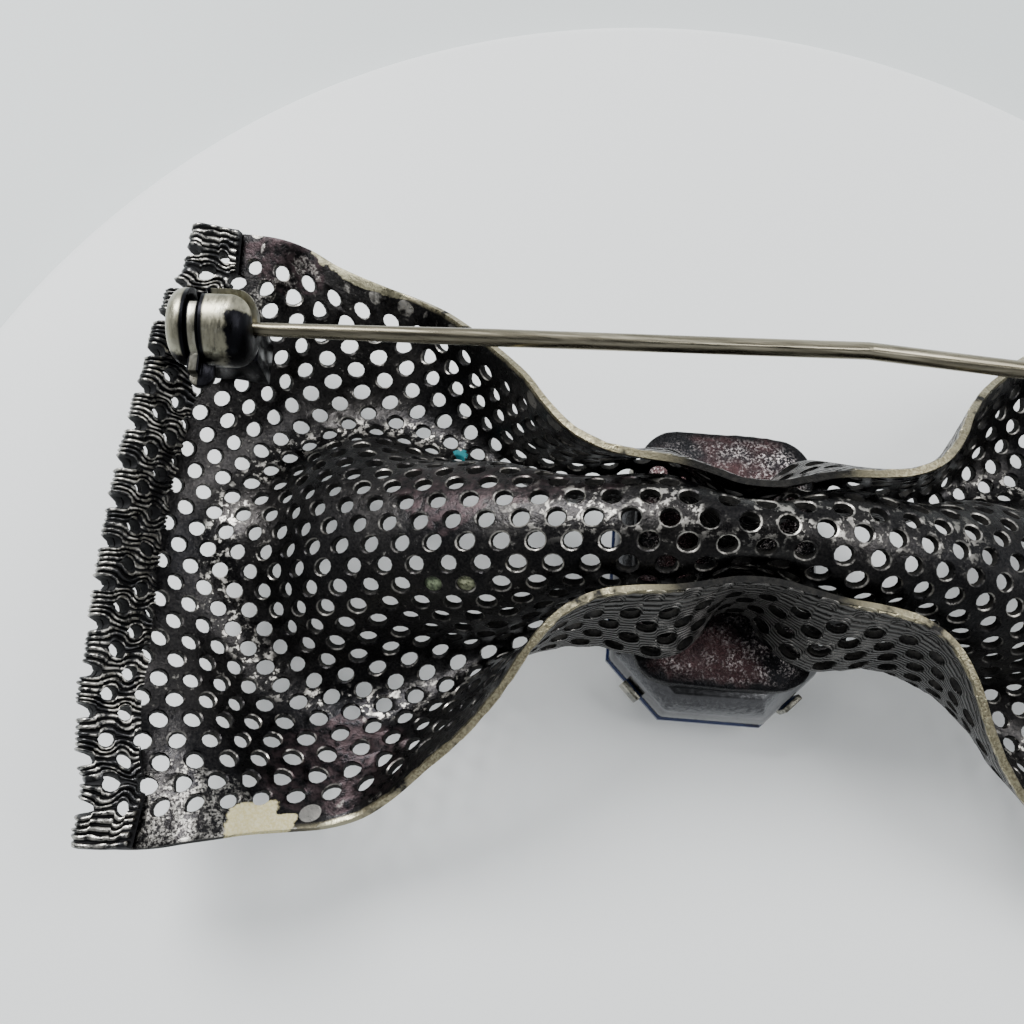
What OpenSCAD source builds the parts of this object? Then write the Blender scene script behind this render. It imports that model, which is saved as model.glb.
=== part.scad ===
// Bow brooch, lying face down: perforated bow, stone setting, pin, catch and hinge.
// Millimetres. Z is up and the back of the bow looks up. X runs along the bow.
// The origin is the middle of the stone's table, on the floor.

/* [Sheet] */

// Pitch of the holes along the bow
pitch = 2.0; // [1.6:0.05:2.4]
// Pitch of the holes across the bow
pitch_across = 2.37; // [2.0:0.01:2.8]
// Thickness of the perforated sheet
sheet = 0.5; // [0.4:0.05:0.8]
// Plain margin outside the last row of holes
margin = 2.06; // [1.6:0.02:3.0]
// Hole width along the bow
hole_long = 1.1; // [0.8:0.05:1.4]
// Hole width across the bow
hole_wide = 0.95; // [0.7:0.05:1.2]
// Width of the folded hem
hem_width = 3.0; // [2.0:0.1:4.0]

/* [Stone and setting] */

// Length of the stone, across the bow
stone_long = 18; // [14:0.5:20]
// Width of the stone, along the bow
stone_wide = 13; // [10:0.5:15]
// Height of the crown, from the table to the girdle
crown = 2.0; // [1.5:0.1:3.0]
// Height of the girdle band
girdle = 0.4; // [0.2:0.1:0.8]
// Depth of the pavilion
pavilion = 2.9; // [2.0:0.1:4.0]
// Step in from the girdle to the edge between the two rows of crown facets
crown_step = 1.6; // [1.2:0.1:2.0]
// Step in from the girdle to the table
table_step = 3.1; // [2.6:0.1:3.6]
// Step in from the girdle to the edge between the two rows of pavilion facets
pavilion_step = 1.7; // [1.2:0.1:2.2]
// Step in from the girdle to the keel
keel_step = 3.8; // [3.0:0.1:4.4]
// Wall of the setting
setting_wall = 0.55; // [0.4:0.05:1.0]
// Thickness of the back plate over the keel of the stone
plate_wall = 1.25; // [1.0:0.05:2.0]
// Step in from the girdle to the edge of the back plate
plate_step = 1.2; // [0.6:0.05:1.6]
// Length of a claw along the edge
claw = 1.7; // [1.2:0.1:2.4]
// How far a claw reaches over the crown
claw_reach = 1.5; // [0.8:0.1:2.0]

/* [Pin and catch] */

// Diameter of the pin stem
stem_d = 1.04; // [0.8:0.02:1.3]
// Diameter of the stem where it enters the catch
stem_tip_d = 0.8; // [0.5:0.02:1.0]
// Length of the taper in front of the catch
taper_long = 14; // [8:0.2:18]
// Columns of holes from the waist to the face of the catch
catch_columns = 14.4; // [13.5:0.1:15.5]
// Rows of holes from the middle to the stem
pin_rows = 4.4; // [4.2:0.1:5.0]
// Height of the stem over the table of sections' zero level
pin_rise = 6.1; // [5.5:0.1:7.5]
// Turn of the pin and its fittings against the bow, seen from above
pin_turn = 3.0; // [0:0.5:5]
// Radius of the two cheeks
cheek_r = 2.25; // [1.8:0.05:2.8]
// Length of the right cheek
cheek_right = 2.7; // [2:0.1:3.5]
// Length of the left cheek
cheek_left = 1.15; // [0.8:0.05:2]
// Width of the slot for the turning piece
slot = 0.85; // [0.6:0.05:1.2]
// Lean of the catch mouth away from upright, towards the edge
mouth_lean = 45; // [20:5:60]
// Running clearance of the pivots, on the radius
run_fit = 0.03; // [0.01:0.01:0.1]

/* [Hinge] */

// Where the stem bends
bend_x = 7.0; // [0:0.2:12]
// Turn of the bend
bend_turn = 5.0; // [2:0.5:12]
// Roll of the bend: 0 turns it level, 90 turns it down
bend_roll = 17; // [0:1:60]
// Columns of holes from the waist to the hinge line
hinge_columns = 15.25; // [14.5:0.25:16]
// Diameter of the rivet
rivet_d = 0.8; // [0.6:0.05:1.2]
// Outside diameter of the stem's eye
eye_d = 2.2; // [1.8:0.1:3]
// Width of the stem's eye
eye_w = 1.1; // [0.8:0.05:1.6]

/* [Hidden] */

// Sections of one wing, waist first, at even steps to the end fold.
// Columns: height of the middle line (mm), dip of the ridge flank (deg), rise of the
// flange (deg), then where the crest turn ends, where the valley turn starts and ends
// (shares of the half width), and the length share that the section keeps.
SECTIONS = [
    [10.1, 100, 92, .18, .41, .70, 1.00],
    [9.6,  86, 114, .35, .41, .72, 1.00],
    [8.2,  96,  98, .40, .39, .69, 1.00],
    [6.4,  87,  68, .54, .49, .64, 1.00],
    [4.4,  67,  57, .43, .37, .78, 1.00],
    [2.1,  46,  30, .45, .39, .73, 1.00],
    [-0.6, 22,  30, .13, .16, .70, 1.00],
    [-0.4,  0,  17, .07, .02, .60, 0.88],
    [3.7,   0,  -7, .20, .12, 1.03, 1.04]
];
last_section = len(SECTIONS) - 1;
half_columns = 20.5;
half_length = half_columns * pitch;
last_row = 14;
half_width = last_row * pitch_across / 2 + margin;
substeps = 5;
// Clearance between pieces that are joined on the real brooch
seat_gap = 0.06;
skin = sheet / 2;
catch_x = -catch_columns * pitch;
hinge_x = hinge_columns * pitch;
pin_y = pin_rows * pitch_across;

function hermite_share(t) = t * t * (3 - 2 * t);
function ease(t) = hermite_share(min(1, max(0, t)));
function section_row(k) =
    SECTIONS[k < 0 ? -k : min(k, last_section)];
function past_end(k) = k > last_section
    ? 2 * SECTIONS[last_section] - SECTIONS[last_section - 1]
    : section_row(k);
// Smooth curve through the rows of the table
function section_at(s) =
    let(k = min(floor(s), last_section - 1),
        f = s - k,
        a = section_row(k - 1),
        b = section_row(k),
        c = section_row(k + 1),
        d = past_end(k + 2))
    0.5 * (2 * b + (c - a) * f + (2 * a - 5 * b + 4 * c - d) * f * f
        + (3 * b - a - 3 * c + d) * f * f * f);
// Slope of the section at a share of the half width
function slope_at(sec, v) =
    -sec[1] * sin(90 * min(1, v / sec[3]))
    + (sec[1] + sec[2]) * ease((v - sec[4]) / (sec[5] - sec[4]));

// Rows across one half: the middle, the rows of holes, the rim
ROWS = [for (j = [0:last_row]) j * pitch_across / 2, half_width];
row_count = len(ROWS);
// One section as [y, z] at each row
function walk(sec, r, y, z) = r >= row_count ? [] :
    let(from = r == 0 ? 0 : ROWS[r - 1],
        part = (ROWS[r] - from) / substeps,
        at = [for (i = [0:substeps - 1]) slope_at(sec, (from + part * (i + 0.5)) / half_width)],
        y2 = y + part * total([for (s = at) cos(s)]),
        z2 = z + part * total([for (s = at) sin(s)]))
    concat([[y2, z2]], walk(sec, r + 1, y2, z2));
function total(list, i = 0, sum = 0) = i >= len(list) ? sum : total(list, i + 1, sum + list[i]);
function section_line(u) =
    let(sec = section_at(abs(u) / half_length * last_section))
    walk(sec, 0, 0, sec[0]);

// Stations of the right wing: hole columns half a pitch off the waist, out to the fold
COLUMNS = [for (c = [0:20]) (c + 0.5) * pitch];
LINES = [for (u = COLUMNS) section_line(u)];
MIDDLE = section_line(0);
// The valleys of the waist rest on the back plate
plate_top = crown + girdle + pavilion + plate_wall;
bow_level = plate_top + seat_gap + skin - min([for (p = LINES[0]) p[1]]);
pin_z = bow_level + pin_rise;
KEEP = [for (u = COLUMNS) section_at(u / half_length * last_section)[6]];
// Rows past this one keep their neighbour's place along the bow
straight_row = 13;
// Step along the bow that keeps the sheet's own length
function step_x(from, to, len_) =
    let(d = to - from)
    sqrt(max(0.03 * len_ * len_, len_ * len_ - d[0] * d[0] - d[1] * d[1]));
function reach(r, c) =
    let(q = min(r, straight_row),
        from = c == 0 ? MIDDLE[q] : LINES[c - 1][q],
        gap = c == 0 ? pitch / 2 : pitch)
    (c == 0 ? 0 : reach(q, c - 1)) + step_x(from, LINES[c][q], gap * KEEP[c]);
REACH = [for (r = [0:row_count - 1]) [for (c = [0:20]) reach(r, c)]];

side_columns = 21;
column_count = 2 * side_columns;
full_rows = 2 * row_count - 1;
// Middle surface of the sheet at column c (0 is the left fold) and row m (0 is the -Y rim)
function mid(c, m) =
    let(side = c < side_columns ? -1 : 1,
        k = side < 0 ? side_columns - 1 - c : c - side_columns,
        r = abs(m - (row_count - 1)),
        hand = m < row_count - 1 ? -1 : 1,
        p = LINES[k][r])
    [side * REACH[r][k], hand * p[0], bow_level + p[1]];
GRID = [for (c = [0:column_count - 1]) [for (m = [0:full_rows - 1]) mid(c, m)]];
function clampi(i, n) = min(n, max(0, i));
function along(c, m) =
    GRID[clampi(c + 1, column_count - 1)][m] - GRID[clampi(c - 1, column_count - 1)][m];
function across(c, m) =
    GRID[c][clampi(m + 1, full_rows - 1)] - GRID[c][clampi(m - 1, full_rows - 1)];
function unit(v) = v / norm(v);
function up_at(c, m) = unit(cross(along(c, m), across(c, m)));

// Height of the sheet's upper face under a point, from the nearest point of the grid
GRID_ROWS = [for (c = [0:column_count - 1]) for (m = [0:full_rows - 1]) [c, m]];
function seat_height(x, y) =
    let(far = [for (g = GRID_ROWS) let(p = GRID[g[0]][g[1]]) norm([p[0] - x, p[1] - y])],
        g = GRID_ROWS[search(min(far), far)[0]],
        p = GRID[g[0]][g[1]],
        n = up_at(g[0], g[1]))
    p[2] + (n[0] * (p[0] - x) + n[1] * (p[1] - y) + skin) / n[2];
// The pin's line: its parts are drawn along X, then turned about the face of the catch
function pin_line(x, y) =
    [catch_x + (x - catch_x) * cos(pin_turn) - (y - pin_y) * sin(pin_turn),
     pin_y + (x - catch_x) * sin(pin_turn) + (y - pin_y) * cos(pin_turn)];
module on_pin_line() {
    translate([catch_x, pin_y, 0]) rotate([0, 0, pin_turn])
        translate([-catch_x, -pin_y, 0]) children();
}
function seat_on_line(x, y) = let(at = pin_line(x, y)) seat_height(at[0], at[1]);
// Outline [x, z] of a foot that follows the sheet, from x1 to x2 under a flat top
foot_cuts = 5;
function foot_outline(x1, x2, y1, y2, top) = concat(
    [for (i = [0:foot_cuts]) let(x = x1 + (x2 - x1) * i / foot_cuts)
        [x, seat_gap + max([for (y = [y1, (y1 + y2) / 2, y2]) seat_on_line(x, y)])]],
    [[x2, top], [x1, top]]);
module foot(x1, x2, y1, y2, top) {
    translate([0, y2, 0]) rotate([90, 0, 0])
        linear_extrude(y2 - y1) polygon(foot_outline(x1, x2, y1, y2, top));
}

// Stations of the solid: [column, share towards the next, upper offset, lower offset, reach]
hem_share = 1 - (hem_width / pitch - 1);
hem_step = 0.02;
lobe = 0.35;
notch = -0.15;
left_end = [
    [0, 0, skin * 1.9, -skin * 0.2, 1],
    [0, 0, 3 * skin, -skin, 0],
    [1, 0, 3 * skin, -skin, 0],
    [1, 1 - hem_share - hem_step, 3 * skin, -skin, 0],
    [1, 1 - hem_share + hem_step, skin, -skin, 0]
];
body = [for (c = [2:column_count - 3]) [c, 0, skin, -skin, 0]];
right_end = [
    [column_count - 3, hem_share - hem_step, skin, -skin, 0],
    [column_count - 3, hem_share + hem_step, 3 * skin, -skin, 0],
    [column_count - 2, 0, 3 * skin, -skin, 0],
    [column_count - 1, 0, 3 * skin, -skin, 0],
    [column_count - 1, 0, skin * 1.9, -skin * 0.2, 1]
];
STATIONS = concat(left_end, body, right_end);
station_count = len(STATIONS);
// Extra reach of the scalloped end: out between the holes, in at a hole
function end_reach(c, m) =
    let(row = abs(m - (row_count - 1)),
        out = unit(c == 0 ? GRID[0][m] - GRID[1][m] : GRID[c][m] - GRID[c - 1][m]))
    out * (row == row_count - 1 || row % 2 == 1 ? lobe : notch);
function sheet_point(s, m, upper) =
    let(st = STATIONS[s],
        c = st[0],
        next = clampi(c + 1, column_count - 1),
        p = GRID[c][m] * (1 - st[1]) + GRID[next][m] * st[1],
        n = up_at(c, m) * (1 - st[1]) + up_at(next, m) * st[1])
    p + unit(n) * (upper ? st[2] : st[3]) + (st[4] == 1 ? end_reach(c, m) : [0, 0, 0]);

// Holes that are cut through here: every third column, every fourth row, staggered
HOLE_COLUMNS = [3, 6, 9, 12, 15, 18, 20, 23, 26, 29, 32, 35, 38];
HOLES = [for (i = [0:len(HOLE_COLUMNS) - 1])
    for (j = [(i % 2 == 0 ? -12 : -10):4:12]) [HOLE_COLUMNS[i], j + row_count - 1]];
hole_sides = 8;
// Corners and sides of the block round a hole, in the order of the hole's own corners
RING = [[1, 0], [1, 1], [0, 1], [-1, 1], [-1, 0], [-1, -1], [0, -1], [1, -1]];
function hole_point(h, k, off) =
    let(c = h[0],
        m = h[1],
        a = 360 / hole_sides * k,
        u = along(c, m) / 2 / pitch,
        v = across(c, m) / pitch_across)
    GRID[c][m] + u * (hole_long / 2 * cos(a)) + v * (hole_wide / 2 * sin(a))
        + up_at(c, m) * off;

// Column of the solid that stands on grid column c
first_body = len(left_end);
function station_of(c) = c - 2 + first_body;
function top_at(s, m) = s * full_rows + m;
function low_at(s, m) = (station_count + s) * full_rows + m;
hole_base = 2 * station_count * full_rows;
function hole_index(h, k, lower) =
    hole_base + (2 * h + (lower ? 1 : 0)) * hole_sides + k % hole_sides;
function ring_index(h, k, lower) =
    let(g = RING[k % hole_sides],
        s = station_of(HOLES[h][0]) + g[0],
        m = HOLES[h][1] + g[1])
    lower ? low_at(s, m) : top_at(s, m);
// True where the cell past station s and row m belongs to the block of a hole
IS_BLOCKED = [for (s = [0:station_count - 2])
    let(near = [for (h = HOLES) if (station_of(h[0]) == s || station_of(h[0]) == s + 1) h[1]])
    [for (m = [0:full_rows - 2]) len([for (b = near) if (b == m || b == m + 1) 1]) > 0]];

SHEET_POINTS = concat(
    [for (s = [0:station_count - 1]) for (m = [0:full_rows - 1]) sheet_point(s, m, true)],
    [for (s = [0:station_count - 1]) for (m = [0:full_rows - 1]) sheet_point(s, m, false)],
    [for (h = HOLES) for (off = [skin, -skin]) for (k = [0:hole_sides - 1]) hole_point(h, k, off)]);
function quad(a, b, c, d) = [[a, b, c], [a, c, d]];
SHEET_FACES = concat(
    [for (s = [0:station_count - 2]) for (m = [0:full_rows - 2]) if (!IS_BLOCKED[s][m])
        for (f = quad(top_at(s, m), top_at(s, m + 1), top_at(s + 1, m + 1), top_at(s + 1, m))) f],
    [for (s = [0:station_count - 2]) for (m = [0:full_rows - 2]) if (!IS_BLOCKED[s][m])
        for (f = quad(low_at(s, m), low_at(s + 1, m), low_at(s + 1, m + 1), low_at(s, m + 1))) f],
    [for (s = [0:station_count - 2])
        for (f = quad(low_at(s, 0), top_at(s, 0), top_at(s + 1, 0), low_at(s + 1, 0))) f],
    [for (s = [0:station_count - 2]) let(m = full_rows - 1)
        for (f = quad(top_at(s, m), low_at(s, m), low_at(s + 1, m), top_at(s + 1, m))) f],
    [for (m = [0:full_rows - 2])
        for (f = quad(low_at(0, m), low_at(0, m + 1), top_at(0, m + 1), top_at(0, m))) f],
    [for (m = [0:full_rows - 2]) let(s = station_count - 1)
        for (f = quad(top_at(s, m), top_at(s, m + 1), low_at(s, m + 1), low_at(s, m))) f],
    [for (h = [0:len(HOLES) - 1]) for (k = [0:hole_sides - 1])
        for (f = quad(hole_index(h, k, false), hole_index(h, k + 1, false),
            ring_index(h, k + 1, false), ring_index(h, k, false))) f],
    [for (h = [0:len(HOLES) - 1]) for (k = [0:hole_sides - 1])
        for (f = quad(hole_index(h, k + 1, true), hole_index(h, k, true),
            ring_index(h, k, true), ring_index(h, k + 1, true))) f],
    [for (h = [0:len(HOLES) - 1]) for (k = [0:hole_sides - 1])
        for (f = quad(hole_index(h, k + 1, false), hole_index(h, k, false),
            hole_index(h, k, true), hole_index(h, k + 1, true))) f]);

module bow_sheet() {
    color("#2b2b2d") polyhedron(points = SHEET_POINTS, faces = SHEET_FACES);
}

// Octagon with cut corners, as a flat shape
corner_share = 0.26;
function octagon(long, wide) =
    let(x = wide / 2, y = long / 2, k = wide * corner_share)
    [[x, -y + k], [x, y - k], [x - k, y], [-x + k, y],
     [-x, y - k], [-x, -y + k], [-x + k, -y], [x - k, -y]];
function ring_points(long, wide, z) = [for (p = octagon(long, wide)) [p[0], p[1], z]];

// Stepped octagon solid from levels of [length, width, height], lowest first
module stepped(levels) {
    n = len(levels);
    points = [for (l = levels) for (p = ring_points(l[0], l[1], l[2])) p];
    sides = [for (i = [0:n - 2]) for (k = [0:7])
        for (f = quad(i * 8 + k, (i + 1) * 8 + k, (i + 1) * 8 + (k + 1) % 8, i * 8 + (k + 1) % 8)) f];
    floor_faces = [for (k = [1:6]) [0, k, k + 1]];
    roof_faces = [for (k = [1:6]) [8 * n - 8, 8 * n - 8 + k + 1, 8 * n - 8 + k]];
    polyhedron(points = points, faces = concat(sides, floor_faces, roof_faces));
}

// Level of a stepped solid: the octagon of the stone, stepped in all round, and its height
function level(step_in, z) = [stone_long - 2 * step_in, stone_wide - 2 * step_in, z];
crown_knee = 0.45 * crown;
girdle_top = crown + girdle;
pavilion_knee = girdle_top + 0.5 * pavilion;
keel_top = girdle_top + pavilion;
module center_stone() {
    color("#0b1a4d") stepped([
        level(table_step, 0),
        level(crown_step, crown_knee),
        level(0, crown),
        level(0, girdle_top),
        level(pavilion_step, pavilion_knee),
        level(keel_step, keel_top)
    ]);
}

// Outside of the setting, from the bezel edge up to the domed back plate
bezel_drop = 0.1;
waist_step = 0.25;
rim_step = 0.25;
dish_step = 0.55;
dome_step = 1.3;
shoulder = plate_top - 1.1;
rim_high = 0.45;
dish_high = 0.6;
module setting_body() {
    difference() {
        stepped([
            level(bezel_drop - setting_wall, crown - bezel_drop),
            level(-setting_wall, girdle_top + 0.3),
            level(waist_step - setting_wall, girdle_top + 1.6),
            level(plate_step, shoulder),
            level(plate_step + rim_step, shoulder + rim_high),
            level(plate_step + rim_step + dish_step, shoulder + dish_high),
            level(plate_step + rim_step + dish_step + dome_step, plate_top)
        ]);
        stepped([
            level(-seat_gap, 0),
            level(-seat_gap, girdle_top + seat_gap),
            level(pavilion_step - seat_gap, pavilion_knee + seat_gap),
            level(keel_step - seat_gap, keel_top + seat_gap)
        ]);
    }
}

// One claw folded over a cut corner of the stone
claw_lean = atan2(crown - crown_knee, crown_step * 1.05);
claw_root = 0.3;
module corner_claw(sx, sy) {
    cut = stone_wide * corner_share / 2;
    translate([sx * (stone_wide / 2 - cut), sy * (stone_long / 2 - cut), 0])
        rotate([0, 0, atan2(sy, sx)]) {
            translate([seat_gap, -claw / 2, crown - claw_root])
                cube([setting_wall + 0.1, claw, girdle + 2 * claw_root + 0.4]);
            translate([seat_gap * sin(claw_lean), -claw / 2, crown - seat_gap * cos(claw_lean)])
                rotate([0, 180 - claw_lean, 0]) translate([-claw_root, 0, 0])
                    cube([claw_reach + claw_root, claw, setting_wall]);
        }
}
module stone_setting() {
    color("#5a4a4c") union() {
        setting_body();
        for (sx = [-1, 1]) for (sy = [-1, 1]) corner_claw(sx, sy);
    }
}

// Drum with one rounded edge, standing on its flat face along +X
module cheek(length, rounding) {
    rotate([0, 90, 0]) rotate_extrude($fn = 64) union() {
        square([cheek_r, length - rounding]);
        square([cheek_r - rounding, length]);
        translate([cheek_r - rounding, length - rounding]) intersection() {
            circle(r = rounding, $fn = 48);
            square(rounding);
        }
    }
}

slot_right = catch_x - cheek_right;
slot_left = slot_right - slot;
pivot_r = 0.5;
pivot_long = 0.6;
mouth = stem_tip_d + 0.3;
foot_wide = 2.6;
foot_drop = 1.55;
// The foot stops short of the hem, and a bridge over the hem carries the left cheek
foot_inset = 0.15;
bridge_back = 0.8 * cheek_left;
bridge_front = 0.4;
bridge_thick = 0.6;
module catch_housing() {
    color("#8b8570") on_pin_line() difference() {
        union() {
            translate([slot_right, pin_y, pin_z]) cheek(cheek_right, 1.15);
            translate([slot_left, pin_y, pin_z]) mirror([1, 0, 0]) cheek(cheek_left, 0.85);
            foot(slot_left + foot_inset, catch_x - 0.1, pin_y - foot_wide / 2,
                pin_y + foot_wide / 2, pin_z - foot_drop);
            translate([slot_left - bridge_back, pin_y - foot_wide / 2,
                pin_z - cheek_r - bridge_thick])
                cube([bridge_back + slot + bridge_front, foot_wide,
                    cheek_r + bridge_thick - foot_drop]);
        }
        translate([slot_left, pin_y, pin_z]) rotate([0, 90, 0])
            cylinder(r = cheek_r, h = slot, $fn = 64);
        translate([slot_right - 0.5, pin_y, pin_z]) rotate([0, 90, 0])
            cylinder(d = mouth, h = cheek_right + 1, $fn = 48);
        translate([slot_right - 0.5, pin_y, pin_z]) rotate([-mouth_lean, 0, 0])
            translate([0, -mouth / 2, 0]) cube([cheek_right + 1, mouth, cheek_r + 1]);
        translate([slot_left - pivot_long - run_fit, pin_y, pin_z]) rotate([0, 90, 0])
            cylinder(r = pivot_r + run_fit, h = pivot_long + run_fit + 0.1, $fn = 48);
    }
}

// The turning piece: play at each side and round it, and how deep the stem's tip sits in it
side_play = 0.1;
rotor_thick = slot - 2 * side_play;
rotor_r = cheek_r - 0.2;
rotor_left = slot_left + side_play;
rotor_right = rotor_left + rotor_thick;
tip_pocket = 0.35;
// Radius past which the mouth is cut right through the turning piece
mouth_through = 0.8;
tab_wide = 1.45;
tab_thick = 0.45;
tab_in = cheek_r + 0.2;
tab_mid = cheek_r + 0.8;
tab_root = 1.4;
module catch_rotor() {
    color("#8b8570") on_pin_line() union() {
        difference() {
            translate([rotor_left, pin_y, pin_z]) rotate([0, 90, 0])
                cylinder(r = rotor_r, h = rotor_thick, $fn = 64);
            translate([rotor_right - tip_pocket, pin_y, pin_z]) rotate([0, 90, 0])
                cylinder(d = mouth, h = tip_pocket + slot, $fn = 48);
            translate([rotor_right - tip_pocket, pin_y, pin_z]) rotate([-mouth_lean, 0, 0])
                translate([0, -mouth / 2, 0]) cube([tip_pocket + slot, mouth, cheek_r]);
            translate([rotor_left - slot, pin_y, pin_z]) rotate([-mouth_lean, 0, 0])
                translate([0, -mouth / 2 - 0.35, mouth_through])
                    cube([3 * slot, mouth + 0.7, cheek_r]);
        }
        translate([slot_left - pivot_long + run_fit, pin_y, pin_z]) rotate([0, 90, 0])
            cylinder(r = pivot_r, h = pivot_long + side_play, $fn = 48);
        translate([rotor_left, pin_y - tab_mid, pin_z - tab_root / 2])
            cube([rotor_thick, tab_mid - rotor_r + tab_root / 2, tab_root]);
        translate([rotor_left, pin_y - tab_mid, pin_z - tab_thick / 2])
            cube([tab_wide, tab_mid - tab_in, tab_thick]);
        translate([rotor_left + tab_wide / 2, pin_y - tab_mid, pin_z - tab_thick / 2])
            cylinder(d = tab_wide, h = tab_thick, $fn = 40);
    }
}

// Stem after the bend, and where that puts the hinge line
run_long = (hinge_x - bend_x) / cos(bend_turn);
run_off = run_long * sin(bend_turn);
hinge_y = pin_y - run_off * cos(bend_roll);
hinge_z = pin_z - run_off * sin(bend_roll);
taper_x = catch_x + taper_long;
// How far the knee of the bend stands proud of the wire
knee = 0.03;
tip_x = rotor_right - tip_pocket + 0.1;
tip_end_d = 0.35;
module hinge_frame() {
    translate([hinge_x, hinge_y, hinge_z])
        rotate([-mouth_lean, 0, 0]) rotate([-90, 0, 0]) children();
}
module straight_stem() {
    translate([0, pin_y, pin_z]) rotate([0, 90, 0]) rotate_extrude($fn = 48)
        polygon([[0, tip_x], [tip_end_d / 2, tip_x], [stem_tip_d / 2, catch_x],
            [stem_d / 2, taper_x], [stem_d / 2, bend_x - 2 * knee], [0, bend_x - 2 * knee]]);
}
module pin_stem() {
    color("#8f8a6a") on_pin_line() difference() {
        union() {
            straight_stem();
            translate([bend_x, pin_y, pin_z]) rotate([0, 0, 90])
                sphere(d = stem_d + 2 * knee, $fn = 48);
            translate([bend_x, pin_y, pin_z]) rotate([bend_roll, 0, 0])
                rotate([0, 90, -bend_turn]) translate([0, 0, 2 * knee])
                    cylinder(d = stem_d, h = run_long - eye_d / 4 - 2 * knee, $fn = 48);
            hinge_frame() translate([0, 0, -eye_w / 2])
                rotate([0, 0, 90]) cylinder(d = eye_d, h = eye_w, $fn = 48);
        }
        hinge_frame() translate([0, 0, -eye_w])
            cylinder(d = rivet_d + 2 * run_fit, h = 2 * eye_w, $fn = 48);
    }
}

cheek_gap = 0.12;
lug_thick = 0.7;
lug_r = eye_d / 2 + 0.2;
lug_tail = eye_d / 2 + 0.9;
web = 0.9;
lug_in = eye_w / 2 + cheek_gap;
lug_out = lug_in + lug_thick;
post_wide = 3.0;
post_lean = 0.7;
post_top = 1.9;
rivet_gap = 0.01;
rivet_head = 0.35;
rivet_lip = 0.3;
module hinge_bracket() {
    color("#8b8570") on_pin_line() difference() {
        union() {
            for (side = [lug_in, -lug_out]) hinge_frame() translate([0, 0, side]) {
                cylinder(r = lug_r, h = lug_thick, $fn = 48);
                translate([-lug_r, 0, 0]) cube([2 * lug_r, lug_tail, lug_thick]);
            }
            hinge_frame() translate([-lug_r, lug_tail - web + 0.2, -lug_out])
                cube([2 * lug_r, web, 2 * lug_out]);
            foot(hinge_x - lug_r, hinge_x + lug_r, hinge_y - post_lean - post_wide / 2,
                hinge_y - post_lean + post_wide / 2, hinge_z - post_top);
        }
        hinge_frame() translate([0, 0, -2 * lug_out])
            cylinder(d = rivet_d + 2 * rivet_gap, h = 4 * lug_out, $fn = 48);
    }
}
module hinge_rivet() {
    reach_out = lug_out + 0.03;
    color("#9a947c") on_pin_line() hinge_frame() union() {
        translate([0, 0, -reach_out]) cylinder(d = rivet_d, h = 2 * reach_out, $fn = 48);
        for (end = [reach_out, -reach_out - rivet_head]) translate([0, 0, end])
            cylinder(d = rivet_d + 2 * rivet_lip, h = rivet_head, $fn = 48);
    }
}

bow_sheet();
stone_setting();
center_stone();
catch_housing();
catch_rotor();
pin_stem();
hinge_bracket();
hinge_rivet();
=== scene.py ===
# %% [markdown]
# # A bow brooch, lying face down
# The brooch is a bow of perforated sheet metal, seen from the back. A closed setting with a blue
# octagon stone is soldered under its waist, and a pin with a catch runs along its upper edge.
# The CAD model is the frame: each piece made here stands where the CAD solid stands, and only
# the looks are added.

# %% Load the frame
import math
import bpy
import numpy as np
from mathutils import Matrix, Vector, noise
from mathutils.bvhtree import BVHTree


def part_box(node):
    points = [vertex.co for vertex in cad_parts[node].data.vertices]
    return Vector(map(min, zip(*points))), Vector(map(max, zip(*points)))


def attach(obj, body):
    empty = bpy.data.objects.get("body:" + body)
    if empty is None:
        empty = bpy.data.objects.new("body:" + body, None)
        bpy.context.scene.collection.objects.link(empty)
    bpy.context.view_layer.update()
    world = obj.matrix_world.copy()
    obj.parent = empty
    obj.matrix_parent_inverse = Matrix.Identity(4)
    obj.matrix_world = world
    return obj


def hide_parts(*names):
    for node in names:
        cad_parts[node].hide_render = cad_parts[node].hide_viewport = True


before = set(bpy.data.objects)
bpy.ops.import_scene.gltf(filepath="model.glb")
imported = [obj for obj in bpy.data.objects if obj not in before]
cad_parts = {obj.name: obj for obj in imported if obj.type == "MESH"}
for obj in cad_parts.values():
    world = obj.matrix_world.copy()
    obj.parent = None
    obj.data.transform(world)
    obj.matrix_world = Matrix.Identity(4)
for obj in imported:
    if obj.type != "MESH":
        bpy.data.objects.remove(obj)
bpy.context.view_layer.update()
MM = 0.001
print("CAD pieces:", sorted(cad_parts))

# %% [markdown]
# ## The camera
# The photograph was taken close up, from a little above the lower edge of the bow, so the lens
# is given as a photographer would: what it looks at, how far off it is, and how it is turned.
# The numbers were found by setting the holes of the bow over the holes of the photograph.

# %% Camera
LOOKS_AT = Vector((-13.10, 2.52, 5.67)) * MM
DISTANCE = 60.68 * MM
ELEVATION, AZIMUTH, ROLL = (math.radians(a) for a in (73.22, -0.61, 5.30))
LENS_MM = 34.62

back = Vector((math.sin(AZIMUTH) * math.cos(ELEVATION),
               -math.cos(AZIMUTH) * math.cos(ELEVATION), math.sin(ELEVATION)))
level_right = Vector((math.cos(AZIMUTH), math.sin(AZIMUTH), 0))
level_up = back.cross(level_right)
right = level_right * math.cos(ROLL) + level_up * math.sin(ROLL)
up = level_up * math.cos(ROLL) - level_right * math.sin(ROLL)
bpy.ops.object.camera_add()
camera = bpy.context.object
camera.name = "photo_camera"
turn = Matrix((right, up, back)).transposed().to_4x4()
camera.matrix_world = Matrix.Translation(LOOKS_AT + back * DISTANCE) @ turn
camera.data.lens = LENS_MM
camera.data.clip_start = 0.001
bpy.context.scene.camera = camera
print("camera at", [round(v / MM, 1) for v in camera.location], "mm")

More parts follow.
